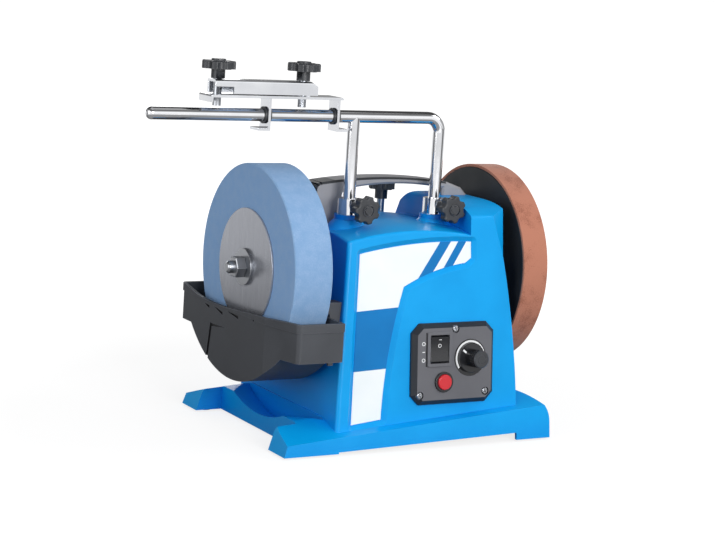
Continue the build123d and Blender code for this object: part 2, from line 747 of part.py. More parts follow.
# Rubber feet, floor plate and its screws
with BuildPart() as rubber_feet:
    with BuildSketch(Plane.XY):
        with Locations(*FOOT_SPOTS):
            Circle(FOOT_R)
    extrude(amount=FOOT_PROUD + FOOT_SINK)
save(rubber_feet.part, "rubber_feet")

with BuildPart() as floor_plate:
    with BuildSketch(Plane.XY.offset(FLOOR_Z)):
        with Locations(((POST_LEFT_X + POST_RIGHT_X) / 2, 0)):
            Rectangle(POST_RIGHT_X - POST_LEFT_X + POST_R, 2 * (POST_Y + POST_R))
        with Locations(*POST_SPOTS):
            Circle(PANEL_SCREW_SHANK_R + RUN_GAP, mode=Mode.SUBTRACT)
    extrude(amount=FLOOR_T)
save(floor_plate.part, "floor_plate")

with BuildPart() as floor_screws:
    with BuildSketch(Plane.XY.offset(FLOOR_Z)):
        with Locations(*POST_SPOTS):
            Circle(PANEL_SCREW_SHANK_R)
    extrude(amount=FLOOR_SCREW_L)
    with BuildSketch(Plane.XY.offset(FLOOR_Z - HEAD_T)):
        with Locations(*POST_SPOTS):
            Circle(HEAD_R)
    extrude(amount=HEAD_T)
save(floor_screws.part, "floor_screws")

# Carry handle over the roof
HANDLE_CREST_Z = BLOCK_Z + HANDLE_RISE
HANDLE_HEEL_Z = HANDLE_CREST_Z - HANDLE_HEEL_DROP
HANDLE_LEFT_Z = HANDLE_CREST_Z - HANDLE_LEFT_DROP
HANDLE_KNEE_Z = HANDLE_CREST_Z - HANDLE_KNEE_DROP
HANDLE_SHOULDER_Z = HANDLE_CREST_Z - HANDLE_SHOULDER_DROP
with BuildPart() as carry_handle:
    with BuildSketch(Plane.XZ) as side_view:
        with BuildLine():
            leg_out = LEG_IN_LEFT_X - HANDLE_LEG_W
            under_left = (LEG_IN_LEFT_X, HANDLE_LEFT_Z - HANDLE_T)
            under_right = (LEG_IN_RIGHT_X, HANDLE_KNEE_Z - HANDLE_T)
            under_crest = (HANDLE_CREST_X, HANDLE_CREST_Z - HANDLE_T)
            Polyline(
                (leg_out, HANDLE_SEAT_Z),
                (HANDLE_LEFT_X, HANDLE_HEEL_Z),
                (HANDLE_LEFT_X, HANDLE_LEFT_Z),
            )
            ThreePointArc(
                (HANDLE_LEFT_X, HANDLE_LEFT_Z),
                (HANDLE_CREST_X, HANDLE_CREST_Z),
                (HANDLE_KNEE_X, HANDLE_KNEE_Z),
            )
            Polyline(
                (HANDLE_KNEE_X, HANDLE_KNEE_Z),
                (HANDLE_SHOULDER_X, HANDLE_SHOULDER_Z),
                (HANDLE_RIGHT_X, BLOCK_Z),
                (LEG_IN_RIGHT_X, BLOCK_Z),
                under_right,
            )
            ThreePointArc(under_right, under_crest, under_left)
            Polyline(under_left, (LEG_IN_LEFT_X, HANDLE_SEAT_Z), (leg_out, HANDLE_SEAT_Z))
        make_face()
        elbow_z = HANDLE_LEFT_Z - HANDLE_T
        elbows = side_view.vertices().filter_by_position(Axis.Y, elbow_z - NEAR, HANDLE_CREST_Z)
        fillet(elbows.filter_by_position(Axis.X, HANDLE_LEFT_X - NEAR, LEG_IN_LEFT_X + NEAR), HANDLE_CORNER)
    extrude(amount=HANDLE_D / 2, both=True)
    rims = carry_handle.faces().filter_by(Axis.Y).edges()
    chamfer(rims.filter_by(lambda edge: edge.center().Z > BLOCK_Z + NEAR), HANDLE_EDGE)
    with BuildSketch(Plane.XY.offset(HANDLE_SEAT_Z)):
        with Locations((HANDLE_SCREW_LEFT_X, 0)):
            with GridLocations(0, 2 * HANDLE_SCREW_Y, 1, 2):
                Circle(HANDLE_SCREW_R + FIT_GAP)
    extrude(amount=HANDLE_SCREW_GRIP, mode=Mode.SUBTRACT)
    with BuildSketch(Plane.XY.offset(BLOCK_Z)):
        with Locations((HANDLE_SCREW_RIGHT_X, 0)):
            with GridLocations(0, 2 * HANDLE_SCREW_Y, 1, 2):
                Circle(HANDLE_SCREW_R + FIT_GAP)
    extrude(amount=HANDLE_SCREW_GRIP, mode=Mode.SUBTRACT)
save(carry_handle.part, "carry_handle")

with BuildPart() as handle_screws:
    for screw_x, under_z, seat_z in (
        (HANDLE_SCREW_LEFT_X, SEAT_PAD_Z, HANDLE_SEAT_Z),
        (HANDLE_SCREW_RIGHT_X, BLOCK_Z - SHELL_T, BLOCK_Z),
    ):
        with BuildSketch(Plane.XY.offset(under_z)):
            with Locations((screw_x, 0)):
                with GridLocations(0, 2 * HANDLE_SCREW_Y, 1, 2):
                    Circle(HANDLE_SCREW_R)
        extrude(amount=seat_z - under_z + HANDLE_SCREW_GRIP - FACE_GAP)
        with BuildSketch(Plane.XY.offset(under_z)):
            with Locations((screw_x, 0)):
                with GridLocations(0, 2 * HANDLE_SCREW_Y, 1, 2):
                    Circle(HEAD_R)
        extrude(amount=-HEAD_T)
save(handle_screws.part, "handle_screws")


# Sleeves for the tool support, upright in front and level at the rear
def sleeve(plane, length, hole):
    """Steel sleeve along a plane's normal with a cross hole opened along the hole plane's normal."""
    with BuildPart() as piece:
        with BuildSketch(plane):
            Circle(SLEEVE_R)
            Circle(BAR_R + RUN_GAP, mode=Mode.SUBTRACT)
        extrude(amount=length)
        with BuildSketch(hole):
            Circle(SCREW_R + RUN_GAP)
        extrude(amount=2 * SLEEVE_R, mode=Mode.SUBTRACT)
    return piece.part


for name, leg_x in (("left", LEG_LEFT_X), ("right", LEG_RIGHT_X)):
    upright = Plane((leg_x, BAR_Y, SLEEVE_FOOT_Z))
    save(
        sleeve(upright, SLEEVE_TOP_Z - SLEEVE_FOOT_Z, Plane((leg_x, BAR_Y, LOCK_Z), (1, 0, 0), (0, -1, 0))),
        f"sleeve_{name}",
    )
for name, sleeve_x in (("left", REAR_LEFT_X), ("right", REAR_RIGHT_X)):
    level = Plane((sleeve_x, REAR_SLEEVE_IN_Y, REAR_SLEEVE_Z), (1, 0, 0), (0, 1, 0))
    save(
        sleeve(level, REAR_SLEEVE_OUT_Y - REAR_SLEEVE_IN_Y, Plane((sleeve_x, REAR_LOCK_Y, REAR_SLEEVE_Z))),
        f"rear_sleeve_{name}",
    )

# Shaft with its bearings
SHAFT_LEFT_X = STONE_X - PLATE_T - WASHER_T - NUT_T - STONE_TIP
SHAFT_RIGHT_X = HONE_X + HONE_T + WASHER_T + NUT_T + HONE_TIP
with BuildPart() as main_shaft:
    with BuildSketch(across(SHAFT_LEFT_X)):
        Circle(SHAFT_R)
    extrude(amount=SHAFT_RIGHT_X - SHAFT_LEFT_X)
    chamfer(main_shaft.edges().filter_by(GeomType.CIRCLE), TIP_CHAMFER)
save(main_shaft.part, "main_shaft")

for name, seat_x, way in (("left", LEFT_SEAT_X, -1), ("right", RIGHT_SEAT_X, 1)):
    with BuildPart() as bearing:
        with BuildSketch(across(seat_x)):
            Circle(BEARING_R)
            Circle(SHAFT_R + RUN_GAP, mode=Mode.SUBTRACT)
        extrude(amount=way * BEARING_T)
        for face_x, into in ((seat_x, way), (seat_x + way * BEARING_T, -way)):
            with BuildSketch(across(face_x)):
                Circle(SHIELD_OUT_R)
                Circle(SHIELD_IN_R, mode=Mode.SUBTRACT)
            extrude(amount=into * SHIELD_DEPTH, mode=Mode.SUBTRACT)
    save(bearing.part, f"bearing_{name}")
    with BuildPart() as bearing_cap:
        with BuildSketch(across(seat_x)):
            Circle(BEARING_R + SEAT_WALL)
            Circle(CAP_HOLE_R, mode=Mode.SUBTRACT)
            with PolarLocations(BEARING_R + SEAT_WALL / 2, CAP_SCREWS, start_angle=90):
                Circle(CAP_SCREW_R + FIT_GAP, mode=Mode.SUBTRACT)
        extrude(amount=-way * CAP_T)
    save(bearing_cap.part, f"bearing_cap_{name}")

with BuildPart() as cap_screws:
    for seat_x, way in ((LEFT_SEAT_X, -1), (RIGHT_SEAT_X, 1)):
        with BuildSketch(across(seat_x - way * CAP_T)):
            with PolarLocations(BEARING_R + SEAT_WALL / 2, CAP_SCREWS, start_angle=90):
                Circle(CAP_SCREW_R)
        extrude(amount=way * CAP_SCREW_L)
        with BuildSketch(across(seat_x - way * CAP_T)):
            with PolarLocations(BEARING_R + SEAT_WALL / 2, CAP_SCREWS, start_angle=90):
                Circle(HEAD_R)
        extrude(amount=-way * HEAD_T)
save(cap_screws.part, "cap_screws")


# Grinding wheel and its fixings
def nut(x):
    """Hexagon nut on the shaft with its outer and inner rims broken."""
    with BuildPart() as piece:
        with BuildSketch(across(x)):
            RegularPolygon(NUT_FLATS / 2, 6, major_radius=False)
        extrude(amount=NUT_T)
        chamfer(piece.faces().filter_by(Axis.X).edges(), NUT_CHAMFER)
        with BuildSketch(across(x)):
            Circle(SHAFT_R + FIT_GAP)
        extrude(amount=NUT_T, mode=Mode.SUBTRACT)
    return piece.part


STONE_IN_X = STONE_X + STONE_T
with BuildPart() as grindstone:
    with BuildSketch(across(STONE_X)):
        Circle(STONE_R)
    extrude(amount=STONE_T)
    chamfer(grindstone.edges().filter_by(GeomType.CIRCLE), STONE_EDGE)
    with BuildSketch(across(STONE_X)):
        Circle(SHAFT_R + FIT_GAP)
    extrude(amount=STONE_T, mode=Mode.SUBTRACT)
save(grindstone.part, "grindstone")
save(ring(across(STONE_X - PLATE_T), PLATE_R, SHAFT_R + FIT_GAP, PLATE_T), "wheel_plate")
save(ring(across(STONE_X - PLATE_T - WASHER_T), WASHER_R, SHAFT_R + FIT_GAP, WASHER_T), "wheel_washer")
save(nut(STONE_X - PLATE_T - WASHER_T - NUT_T), "wheel_nut")
with BuildPart() as wheel_flange:
    with BuildSketch(across(STONE_IN_X)):
        Circle(INNER_FLANGE_R)
    extrude(amount=INNER_FLANGE_T)
    with BuildSketch(across(STONE_IN_X)):
        Circle(HUB_R)
    extrude(amount=LEFT_SEAT_X - BEARING_T - FACE_GAP - STONE_IN_X)
    with BuildSketch(across(STONE_IN_X)):
        Circle(SHAFT_R + FIT_GAP)
    extrude(amount=LEFT_SEAT_X - STONE_IN_X, mode=Mode.SUBTRACT)
save(wheel_flange.part, "wheel_flange")

# Honing wheel: core with its outer side dished, and a leather rim
HONE_HUB_X = RIGHT_SEAT_X + BEARING_T + FACE_GAP
with BuildPart() as honing_core:
    with BuildSketch(across(HONE_X)):
        Circle(HONE_R - LEATHER_T - FIT_GAP)
    extrude(amount=HONE_T)
    with BuildSketch(across(HONE_X + HONE_T)):
        Circle(HONE_DISH_OUT_R)
        Circle(HONE_DISH_IN_R, mode=Mode.SUBTRACT)
    extrude(amount=-HONE_DISH, mode=Mode.SUBTRACT)
    with BuildSketch(across(HONE_HUB_X)):
        Circle(HUB_R)
    extrude(amount=HONE_X - HONE_HUB_X)
    with BuildSketch(across(HONE_HUB_X)):
        Circle(SHAFT_R + FIT_GAP)
    extrude(amount=HONE_X + HONE_T - HONE_HUB_X, mode=Mode.SUBTRACT)
save(honing_core.part, "honing_core")
save(ring(across(HONE_X), HONE_R, HONE_R - LEATHER_T, HONE_T), "honing_leather")
save(ring(across(HONE_X + HONE_T), WASHER_R, SHAFT_R + FIT_GAP, WASHER_T), "honing_washer")
save(nut(HONE_X + HONE_T + WASHER_T), "honing_nut")

# Friction drive: disc with a rubber tyre on the shaft, roller on the motor
MOTOR_Z = SHAFT_Z - DISC_R - TYRE_T - DRIVE_GAP - ROLLER_R
DISC_LEFT_X = DISC_X - DISC_T / 2
with BuildPart() as drive_disc:
    with BuildSketch(across(DISC_LEFT_X)):
        Circle(DISC_R - FIT_GAP)
    extrude(amount=DISC_T)
    with BuildSketch(across(DISC_LEFT_X)):
        Circle(DISC_HUB_R)
    extrude(amount=DISC_T + DISC_HUB_T)
    with BuildSketch(across(DISC_LEFT_X)):
        Circle(SHAFT_R + FIT_GAP)
    extrude(amount=DISC_T + DISC_HUB_T, mode=Mode.SUBTRACT)
save(drive_disc.part, "drive_disc")
save(ring(across(DISC_LEFT_X), DISC_R + TYRE_T, DISC_R, DISC_T), "drive_tyre")

with BuildPart() as drive_roller:
    with BuildSketch(across(DISC_X - ROLLER_T / 2, MOTOR_Z)):
        Circle(ROLLER_R)
    extrude(amount=ROLLER_T)
    with BuildSketch(across(DISC_X, MOTOR_Z)):
        Circle(MOTOR_SHAFT_R)
    extrude(amount=MOTOR_X + MOTOR_BORE - FACE_GAP - DISC_X)
save(drive_roller.part, "drive_roller")

with BuildPart() as motor:
    with BuildSketch(across(MOTOR_X, MOTOR_Z)):
        Circle(MOTOR_R)
    extrude(amount=MOTOR_T)
    fillet(motor.edges().filter_by(GeomType.CIRCLE), MOTOR_ROUND)
    with BuildSketch(across(MOTOR_X, MOTOR_Z)):
        Circle(MOTOR_SHAFT_R + RUN_GAP)
    extrude(amount=MOTOR_BORE, mode=Mode.SUBTRACT)
save(motor.part, "motor")

with BuildPart() as motor_bracket:
    with BuildSketch(Plane.XZ):
        with BuildLine():
            Polyline(
                (MOTOR_X - BRACKET_T, FLOOR_TOP_Z),
                (MOTOR_X - BRACKET_T, MOTOR_Z + BRACKET_RISE),
                (MOTOR_X, MOTOR_Z + BRACKET_RISE),
                (MOTOR_X, FLOOR_TOP_Z + BRACKET_T),
                (MOTOR_X + BRACKET_FOOT, FLOOR_TOP_Z + BRACKET_T),
                (MOTOR_X + BRACKET_FOOT, FLOOR_TOP_Z),
                close=True,
            )
        make_face()
    extrude(amount=BRACKET_W / 2, both=True)
    with BuildSketch(across(MOTOR_X - BRACKET_T, MOTOR_Z)):
        Circle(BRACKET_HOLE_R)
    extrude(amount=BRACKET_T, mode=Mode.SUBTRACT)
save(motor_bracket.part, "motor_bracket")

# Tool support: bar with one bent and one joined leg
with BuildPart() as support_bar:
    with BuildLine(Plane.XZ.offset(-BAR_Y)):
        FilletPolyline(
            (BAR_TIP_X, BAR_Z), (LEG_RIGHT_X, BAR_Z), (LEG_RIGHT_X, LEG_FOOT_Z), radius=BAR_BEND_R
        )
    with BuildSketch(Plane((BAR_TIP_X, BAR_Y, BAR_Z), (0, 1, 0), (1, 0, 0))):
        Circle(BAR_R)
    sweep()
    with BuildSketch(Plane((LEG_LEFT_X, BAR_Y, LEG_FOOT_Z))):
        Circle(BAR_R)
    extrude(amount=BAR_Z - LEG_FOOT_Z)
    ends = support_bar.edges().filter_by(GeomType.CIRCLE)
    fillet(ends.sort_by(Axis.X)[0], BAR_TIP_ROUND)
    chamfer(support_bar.edges().filter_by(GeomType.CIRCLE).group_by(Axis.Z)[0], LEG_CHAMFER)
save(support_bar.part, "support_bar")


# Star knobs
def star_knob(plane, radius, height, hub, screw):
    """Star knob with its head standing on the plane and its hub and screw behind it."""
    way = Axis(plane.origin, plane.z_dir)
    with BuildPart() as knob:
        with BuildSketch(plane):
            Circle(radius)
            with PolarLocations(radius * KNOB_SCALLOP_OUT, KNOB_LOBES):
                Circle(radius * KNOB_SCALLOP, mode=Mode.SUBTRACT)
        extrude(amount=height - KNOB_CAP_T)
        fillet(knob.edges().filter_by(way), radius * KNOB_TIP_ROUND)
        fillet(knob.faces().sort_by(way)[-1].edges(), KNOB_EDGE)
        with BuildSketch(plane):
            Circle(radius * KNOB_CAP)
        extrude(amount=height)
        with BuildSketch(plane):
            Circle(KNOB_HUB_R)
        extrude(amount=-hub)
        with BuildSketch(plane.offset(-hub)):
            Circle(SCREW_R)
        extrude(amount=-screw)
    return knob.part


LOCK_SCREW = BAR_Y - BAR_R - SCREW_TIP_GAP - LOCK_HEAD_Y - LOCK_HUB
REAR_LOCK_SCREW = REAR_LOCK_HEAD_Z - REAR_LOCK_HUB - REAR_SLEEVE_Z - BAR_R - REAR_TIP_SHY
for name, leg_x in (("left", LEG_LEFT_X), ("right", LEG_RIGHT_X)):
    head = Plane((leg_x, LOCK_HEAD_Y, LOCK_Z), (1, 0, 0), (0, -1, 0))
    save(star_knob(head, KNOB_R, KNOB_T, LOCK_HUB, LOCK_SCREW), f"lock_knob_{name}")
for name, sleeve_x in (("left", REAR_LEFT_X), ("right", REAR_RIGHT_X)):
    head = Plane((sleeve_x, REAR_LOCK_Y, REAR_LOCK_HEAD_Z))
    save(star_knob(head, KNOB_R, KNOB_T, REAR_LOCK_HUB, REAR_LOCK_SCREW), f"rear_lock_{name}")

# Blade jig: bushes on the bar, folded bracket, clamping jaw and two knobs
LUGS = (JIG_LUG_X, JIG_X_RIGHT - JIG_T)
JIG_KNOBS = [(x, BAR_Y) for x in (JIG_KNOB_LEFT_X, JIG_KNOB_RIGHT_X)]
JIG_Y = BAR_Y - JIG_SET_OUT
BUSH_REACH = FACE_GAP + BUSH_FLANGE_T
with BuildPart() as jig_bushes:
    for lug_x in LUGS:
        with BuildSketch(Plane((lug_x - BUSH_REACH, BAR_Y, BAR_Z), (0, 1, 0), (1, 0, 0))):
            Circle(BUSH_R)
        extrude(amount=JIG_T + 2 * BUSH_REACH)
        for end_x in (lug_x - BUSH_REACH, lug_x + JIG_T + FACE_GAP):
            with BuildSketch(Plane((end_x, BAR_Y, BAR_Z), (0, 1, 0), (1, 0, 0))):
                Circle(BUSH_FLANGE_R)
            extrude(amount=BUSH_FLANGE_T)
        with BuildSketch(Plane((lug_x - BUSH_REACH, BAR_Y, BAR_Z), (0, 1, 0), (1, 0, 0))):
            Circle(BAR_R + RUN_GAP)
        extrude(amount=JIG_T + 2 * BUSH_REACH, mode=Mode.SUBTRACT)
save(jig_bushes.part, "jig_bushes")

with BuildPart() as jig_bracket:
    with BuildSketch(Plane.XY.offset(JIG_TOP_Z - JIG_T)):
        with Locations(((JIG_X_LEFT + JIG_X_RIGHT) / 2, JIG_Y)):
            Rectangle(JIG_X_RIGHT - JIG_X_LEFT, JIG_D)
        with Locations(*JIG_KNOBS):
            Circle(SCREW_R + RUN_GAP, mode=Mode.SUBTRACT)
    extrude(amount=JIG_T)
    with BuildSketch(Plane.XY.offset(JIG_TOP_Z - JIG_T)):
        with Locations((JIG_X_LEFT + JIG_T / 2, JIG_Y)):
            Rectangle(JIG_T, JIG_D)
    extrude(amount=-JIG_LIP)
    for lug_x, tab_x in zip(LUGS, (JIG_LUG_X - JIG_TAB / 2, JIG_X_RIGHT + JIG_TAB / 2)):
        with BuildSketch(Plane((lug_x, BAR_Y, 0), (0, 1, 0), (1, 0, 0))):
            with Locations((0, (JIG_LUG_FOOT_Z + JIG_TOP_Z - JIG_T) / 2)):
                Rectangle(JIG_LUG_W, JIG_TOP_Z - JIG_T - JIG_LUG_FOOT_Z)
            with Locations((0, BAR_Z)):
                Circle(BUSH_R + RUN_GAP, mode=Mode.SUBTRACT)
        extrude(amount=JIG_T)
        with BuildSketch(Plane.XY.offset(JIG_LUG_FOOT_Z)):
            with Locations((tab_x, BAR_Y)):
                Rectangle(JIG_TAB, JIG_LUG_W)
        extrude(amount=JIG_T)
save(jig_bracket.part, "jig_bracket")

JAW_FOOT_Z = JIG_TOP_Z + JAW_GAP
with BuildPart() as jig_jaw:
    with BuildSketch(Plane((JAW_X_LEFT, BAR_Y, JAW_FOOT_Z), (0, 1, 0), (1, 0, 0))):
        with Locations((0, JAW_H / 2)):
            Rectangle(JAW_D, JAW_H)
        with Locations((0, (JAW_H - JIG_T) / 2)):
            Rectangle(JAW_D - 2 * JIG_T, JAW_H - JIG_T, mode=Mode.SUBTRACT)
    extrude(amount=JAW_X_RIGHT - JAW_X_LEFT)
    with BuildSketch(Plane.XY.offset(JAW_FOOT_Z)):
        with Locations(*JIG_KNOBS):
            Circle(SCREW_R + RUN_GAP)
    extrude(amount=JAW_H, mode=Mode.SUBTRACT)
save(jig_jaw.part, "jig_jaw")

JIG_HEAD_Z = JAW_FOOT_Z + JAW_H + FACE_GAP + JIG_KNOB_LIFT
JIG_SCREW = JIG_HEAD_Z - JIG_KNOB_LIFT - JIG_SCREW_TIP_Z
for name, knob_x in (("left", JIG_KNOB_LEFT_X), ("right", JIG_KNOB_RIGHT_X)):
    head = Plane((knob_x, BAR_Y, JIG_HEAD_Z))
    save(star_knob(head, JIG_KNOB_R, JIG_KNOB_T, JIG_KNOB_LIFT, JIG_SCREW), f"jig_knob_{name}")


# Water trough on two rails
def trough(inset, rim):
    """Trough solid up to the rim with its faces moved in by inset."""
    with BuildPart() as body:
        with BuildSketch(across(TROUGH_X_OUT, 0)):
            with BuildLine():
                ThreePointArc(
                    (-TROUGH_STEP_Y, TROUGH_STEP_Z), (0, TROUGH_FLOOR_Z), (TROUGH_STEP_Y, TROUGH_STEP_Z)
                )
                Polyline(
                    (TROUGH_STEP_Y, TROUGH_STEP_Z),
                    (TROUGH_END_Y, TROUGH_STEP_Z),
                    (TROUGH_END_Y, rim),
                    (-TROUGH_END_Y, rim),
                    (-TROUGH_END_Y, TROUGH_STEP_Z),
                    (-TROUGH_STEP_Y, TROUGH_STEP_Z),
                )
            make_face()
            if inset:
                offset(amount=-inset, kind=Kind.INTERSECTION)
        extrude(amount=TROUGH_X_IN - TROUGH_X_OUT)
        with BuildSketch(Plane.XY):
            add(trough_plan(-inset))
        extrude(amount=2 * TROUGH_RIM_Z, mode=Mode.INTERSECT)
    return body.part


def trough_plan(grow):
    """Plan of the trough, rounded at its two free corners and moved out by grow."""
    with BuildSketch() as plan:
        with BuildLine():
            Polyline(
                (TROUGH_X_IN, -TROUGH_END_Y),
                (TROUGH_FRONT_X, -TROUGH_END_Y),
                (TROUGH_X_OUT, TROUGH_BEND_Y),
                (TROUGH_X_OUT, TROUGH_END_Y),
                (TROUGH_X_IN, TROUGH_END_Y),
                close=True,
            )
        make_face()
        fillet(plan.vertices().filter_by(lambda spot: spot.X < TROUGH_FRONT_X + NEAR), TROUGH_ROUND)
        if grow:
            offset(amount=grow, kind=Kind.INTERSECTION)
    return plan.sketch


with BuildPart() as water_trough:
    add(trough(0, TROUGH_RIM_Z))
    with BuildSketch(Plane.XY.offset(TROUGH_RIM_Z - TROUGH_LIP_H)):
        add(trough_plan(TROUGH_LIP))
        with Locations((TROUGH_X_IN + HALF_W, 0)):
            Rectangle(BASE_W, 2 * BASE_D, mode=Mode.SUBTRACT)
    extrude(amount=TROUGH_LIP_H)
    add(trough(TROUGH_WALL, TROUGH_RIM_Z + 2 * TROUGH_WALL), mode=Mode.SUBTRACT)
    guide_y = RAIL_W / 2 + RAIL_GAP + GUIDE_T / 2
    with BuildSketch(Plane.XY.offset(GUIDE_FOOT_Z)):
        with Locations((TROUGH_X_IN + GUIDE_H / 2, -RAIL_Y), (TROUGH_X_IN + GUIDE_H / 2, RAIL_Y)):
            with GridLocations(0, 2 * guide_y, 1, 2):
                Rectangle(GUIDE_H, GUIDE_T)
    extrude(amount=GUIDE_TOP_Z - GUIDE_FOOT_Z)
    with BuildSketch(across(TROUGH_X_OUT - 2 * TROUGH_LIP, 0)):
        with BuildLine():
            Spline(*RIM_DIP)
            Polyline(
                RIM_DIP[-1],
                (RIM_DIP[-1][0], TROUGH_RIM_Z + TROUGH_LIP_H),
                (RIM_DIP[0][0], TROUGH_RIM_Z + TROUGH_LIP_H),
                RIM_DIP[0],
            )
        make_face()
    extrude(amount=TROUGH_FRONT_X - TROUGH_X_OUT + TROUGH_LIP_H, mode=Mode.SUBTRACT)
    with BuildSketch(across(TROUGH_X_OUT, 0)):
        for (start_y, start_z), (end_y, end_z) in SLOTS:
            with BuildLine():
                Polyline(
                    (start_y, start_z), (end_y, end_z + SLOT_H / 2), (end_y, end_z - SLOT_H / 2), close=True
                )
            make_face()
        with BuildLine():
            Line(GROOVE_TOP, GROOVE_FOOT)
        trace(line_width=GROOVE_W)
        with BuildLine():
            Polyline(
                (GROOVE_TOP[0], GROOVE_TOP[1]), GROOVE_END, (GROOVE_TOP[0], GROOVE_TOP[1] - SLOT_H), close=True
            )
        make_face()
    extrude(amount=SLOT_DEPTH, mode=Mode.SUBTRACT)
save(water_trough.part, "water_trough")

for name, rail_y in (("front", -RAIL_Y), ("rear", RAIL_Y)):
    with BuildPart() as trough_rail:
        with BuildSketch(Plane.XZ.offset(-rail_y)):
            with BuildLine():
                Polyline(
                    (TROUGH_X_IN + RAIL_GAP, RAIL_FOOT_Z),
                    (left_x(RAIL_FOOT_Z), RAIL_FOOT_Z),
                    (left_x(RAIL_TOP_Z), RAIL_TOP_Z),
                    (TROUGH_X_IN - RAIL_HOOK, RAIL_TOP_Z),
                    (TROUGH_X_IN - RAIL_HOOK, RAIL_HOOK_Z),
                    (TROUGH_X_IN + RAIL_GAP, RAIL_HOOK_Z),
                    close=True,
                )
            make_face()
        extrude(amount=RAIL_W / 2, both=True)
    save(trough_rail.part, f"trough_rail_{name}")

# Label and control panel
with BuildPart() as front_label:
    with BuildSketch(FRONT.offset(-RECESS_DEPTH)):
        add(label_outline())
    extrude(amount=LABEL_T)
save(front_label.part, "front_label")

FACE = FRONT.offset(PANEL_T)
OUTWARD = Axis(FRONT.origin, FRONT.z_dir)
SWITCH_BODY_W = SWITCH_W - 2 * SWITCH_BODY_IN
SWITCH_BODY_H = SWITCH_H - 2 * SWITCH_BODY_IN
with BuildPart() as control_panel:
    with BuildSketch(FRONT) as panel_outline:
        with Locations((PANEL_X, PANEL_UP)):
            Rectangle(PANEL_W, PANEL_H)
        chamfer(panel_outline.vertices(), PANEL_CUT)
    extrude(amount=PANEL_T)
    chamfer(control_panel.faces().sort_by(OUTWARD)[-1].edges(), PANEL_BEVEL)
    with BuildSketch(FRONT):
        with Locations((PANEL_X, PANEL_UP)):
            with GridLocations(BOARD_W - 2 * BOARD_POST_IN, BOARD_H - 2 * BOARD_POST_IN, 2, 2):
                Circle(BOARD_POST_R)
    extrude(amount=-BOARD_IN)
    with BuildSketch(FRONT):
        with Locations((SWITCH_X, SWITCH_UP)):
            Rectangle(SWITCH_BODY_W + 2 * FIT_GAP, SWITCH_BODY_H + 2 * FIT_GAP)
        with Locations((DIAL_X, DIAL_UP)):
            Circle(POT_BUSH_R + FIT_GAP)
        with Locations((BUTTON_X, BUTTON_UP)):
            Circle(BUTTON_SLEEVE_R + FIT_GAP)
        with Locations(*PANEL_SCREWS):
            Circle(PANEL_SCREW_SHANK_R + FIT_GAP)
    extrude(amount=PANEL_T, mode=Mode.SUBTRACT)
    with BuildSketch(FACE.offset(-PANEL_SCREW_SINK)):
        with Locations(*PANEL_SCREWS):
            Circle(PANEL_SCREW_R + PANEL_SCREW_RING)
    extrude(amount=PANEL_T, mode=Mode.SUBTRACT)
save(control_panel.part, "control_panel")

with BuildPart() as panel_screws:
    with BuildSketch(FACE.offset(-PANEL_SCREW_SINK)):
        with Locations(*PANEL_SCREWS):
            Circle(PANEL_SCREW_R)
    extrude(amount=PANEL_SCREW_T)
    fillet(panel_screws.edges().group_by(OUTWARD)[-1], PANEL_SCREW_T / 2)
    with BuildSketch(FACE.offset(-PANEL_SCREW_SINK)):
        with Locations(*PANEL_SCREWS):
            Circle(PANEL_SCREW_SHANK_R)
    extrude(amount=PANEL_SCREW_SINK - PANEL_T - PANEL_SCREW_BITE + FACE_GAP)
save(panel_screws.part, "panel_screws")

# Rocker switch, pivoted across its frame
POCKET_W = SWITCH_W - 2 * SWITCH_RIM
POCKET_H = SWITCH_H - 2 * SWITCH_RIM
ROCKER_W = POCKET_W - 2 * ROCKER_GAP
ROCKER_R = POCKET_H / 2 - ROCKER_GAP
PIVOT = FACE.offset(-ROCKER_PIVOT_IN).from_local_coords(Vector(SWITCH_X, SWITCH_UP, 0))
ROCK = Plane(PIVOT, FRONT.y_dir, (1, 0, 0))
with BuildPart() as switch_frame:
    with BuildSketch(FACE):
        with Locations((SWITCH_X, SWITCH_UP)):
            RectangleRounded(SWITCH_W, SWITCH_H, SWITCH_BODY_IN)
    extrude(amount=SWITCH_PROUD)
    with BuildSketch(FACE):
        with Locations((SWITCH_X, SWITCH_UP)):
            Rectangle(SWITCH_BODY_W, SWITCH_BODY_H)
    extrude(amount=-SWITCH_BODY_T)
    with BuildSketch(FACE.offset(SWITCH_PROUD)):
        with Locations((SWITCH_X, SWITCH_UP)):
            Rectangle(POCKET_W, POCKET_H)
    extrude(amount=-POCKET_DEPTH - SWITCH_PROUD, mode=Mode.SUBTRACT)
    with BuildSketch(ROCK):
        Circle(PIVOT_R + RUN_GAP)
    extrude(amount=POCKET_W / 2 + PIVOT_REACH, both=True, mode=Mode.SUBTRACT)
save(switch_frame.part, "switch_frame")

with BuildPart() as rocker:
    top_half = math.sqrt(ROCKER_R**2 - ROCKER_TOP**2)
    foot_half = math.sqrt(ROCKER_R**2 - ROCKER_FOOT**2)
    with BuildSketch(ROCK):
        with BuildLine():
            ThreePointArc((foot_half, -ROCKER_FOOT), (ROCKER_R, 0), (top_half, ROCKER_TOP))
            Polyline((top_half, ROCKER_TOP), (0, ROCKER_WAIST), (-top_half, ROCKER_TOP))
            ThreePointArc((-top_half, ROCKER_TOP), (-ROCKER_R, 0), (-foot_half, -ROCKER_FOOT))
            Line((-foot_half, -ROCKER_FOOT), (foot_half, -ROCKER_FOOT))
        make_face()
    extrude(amount=ROCKER_W / 2, both=True)
    with BuildSketch(ROCK):
        Circle(PIVOT_R)
    extrude(amount=POCKET_W / 2 + PIVOT_REACH / 2, both=True)
save(rocker.part, "rocker")

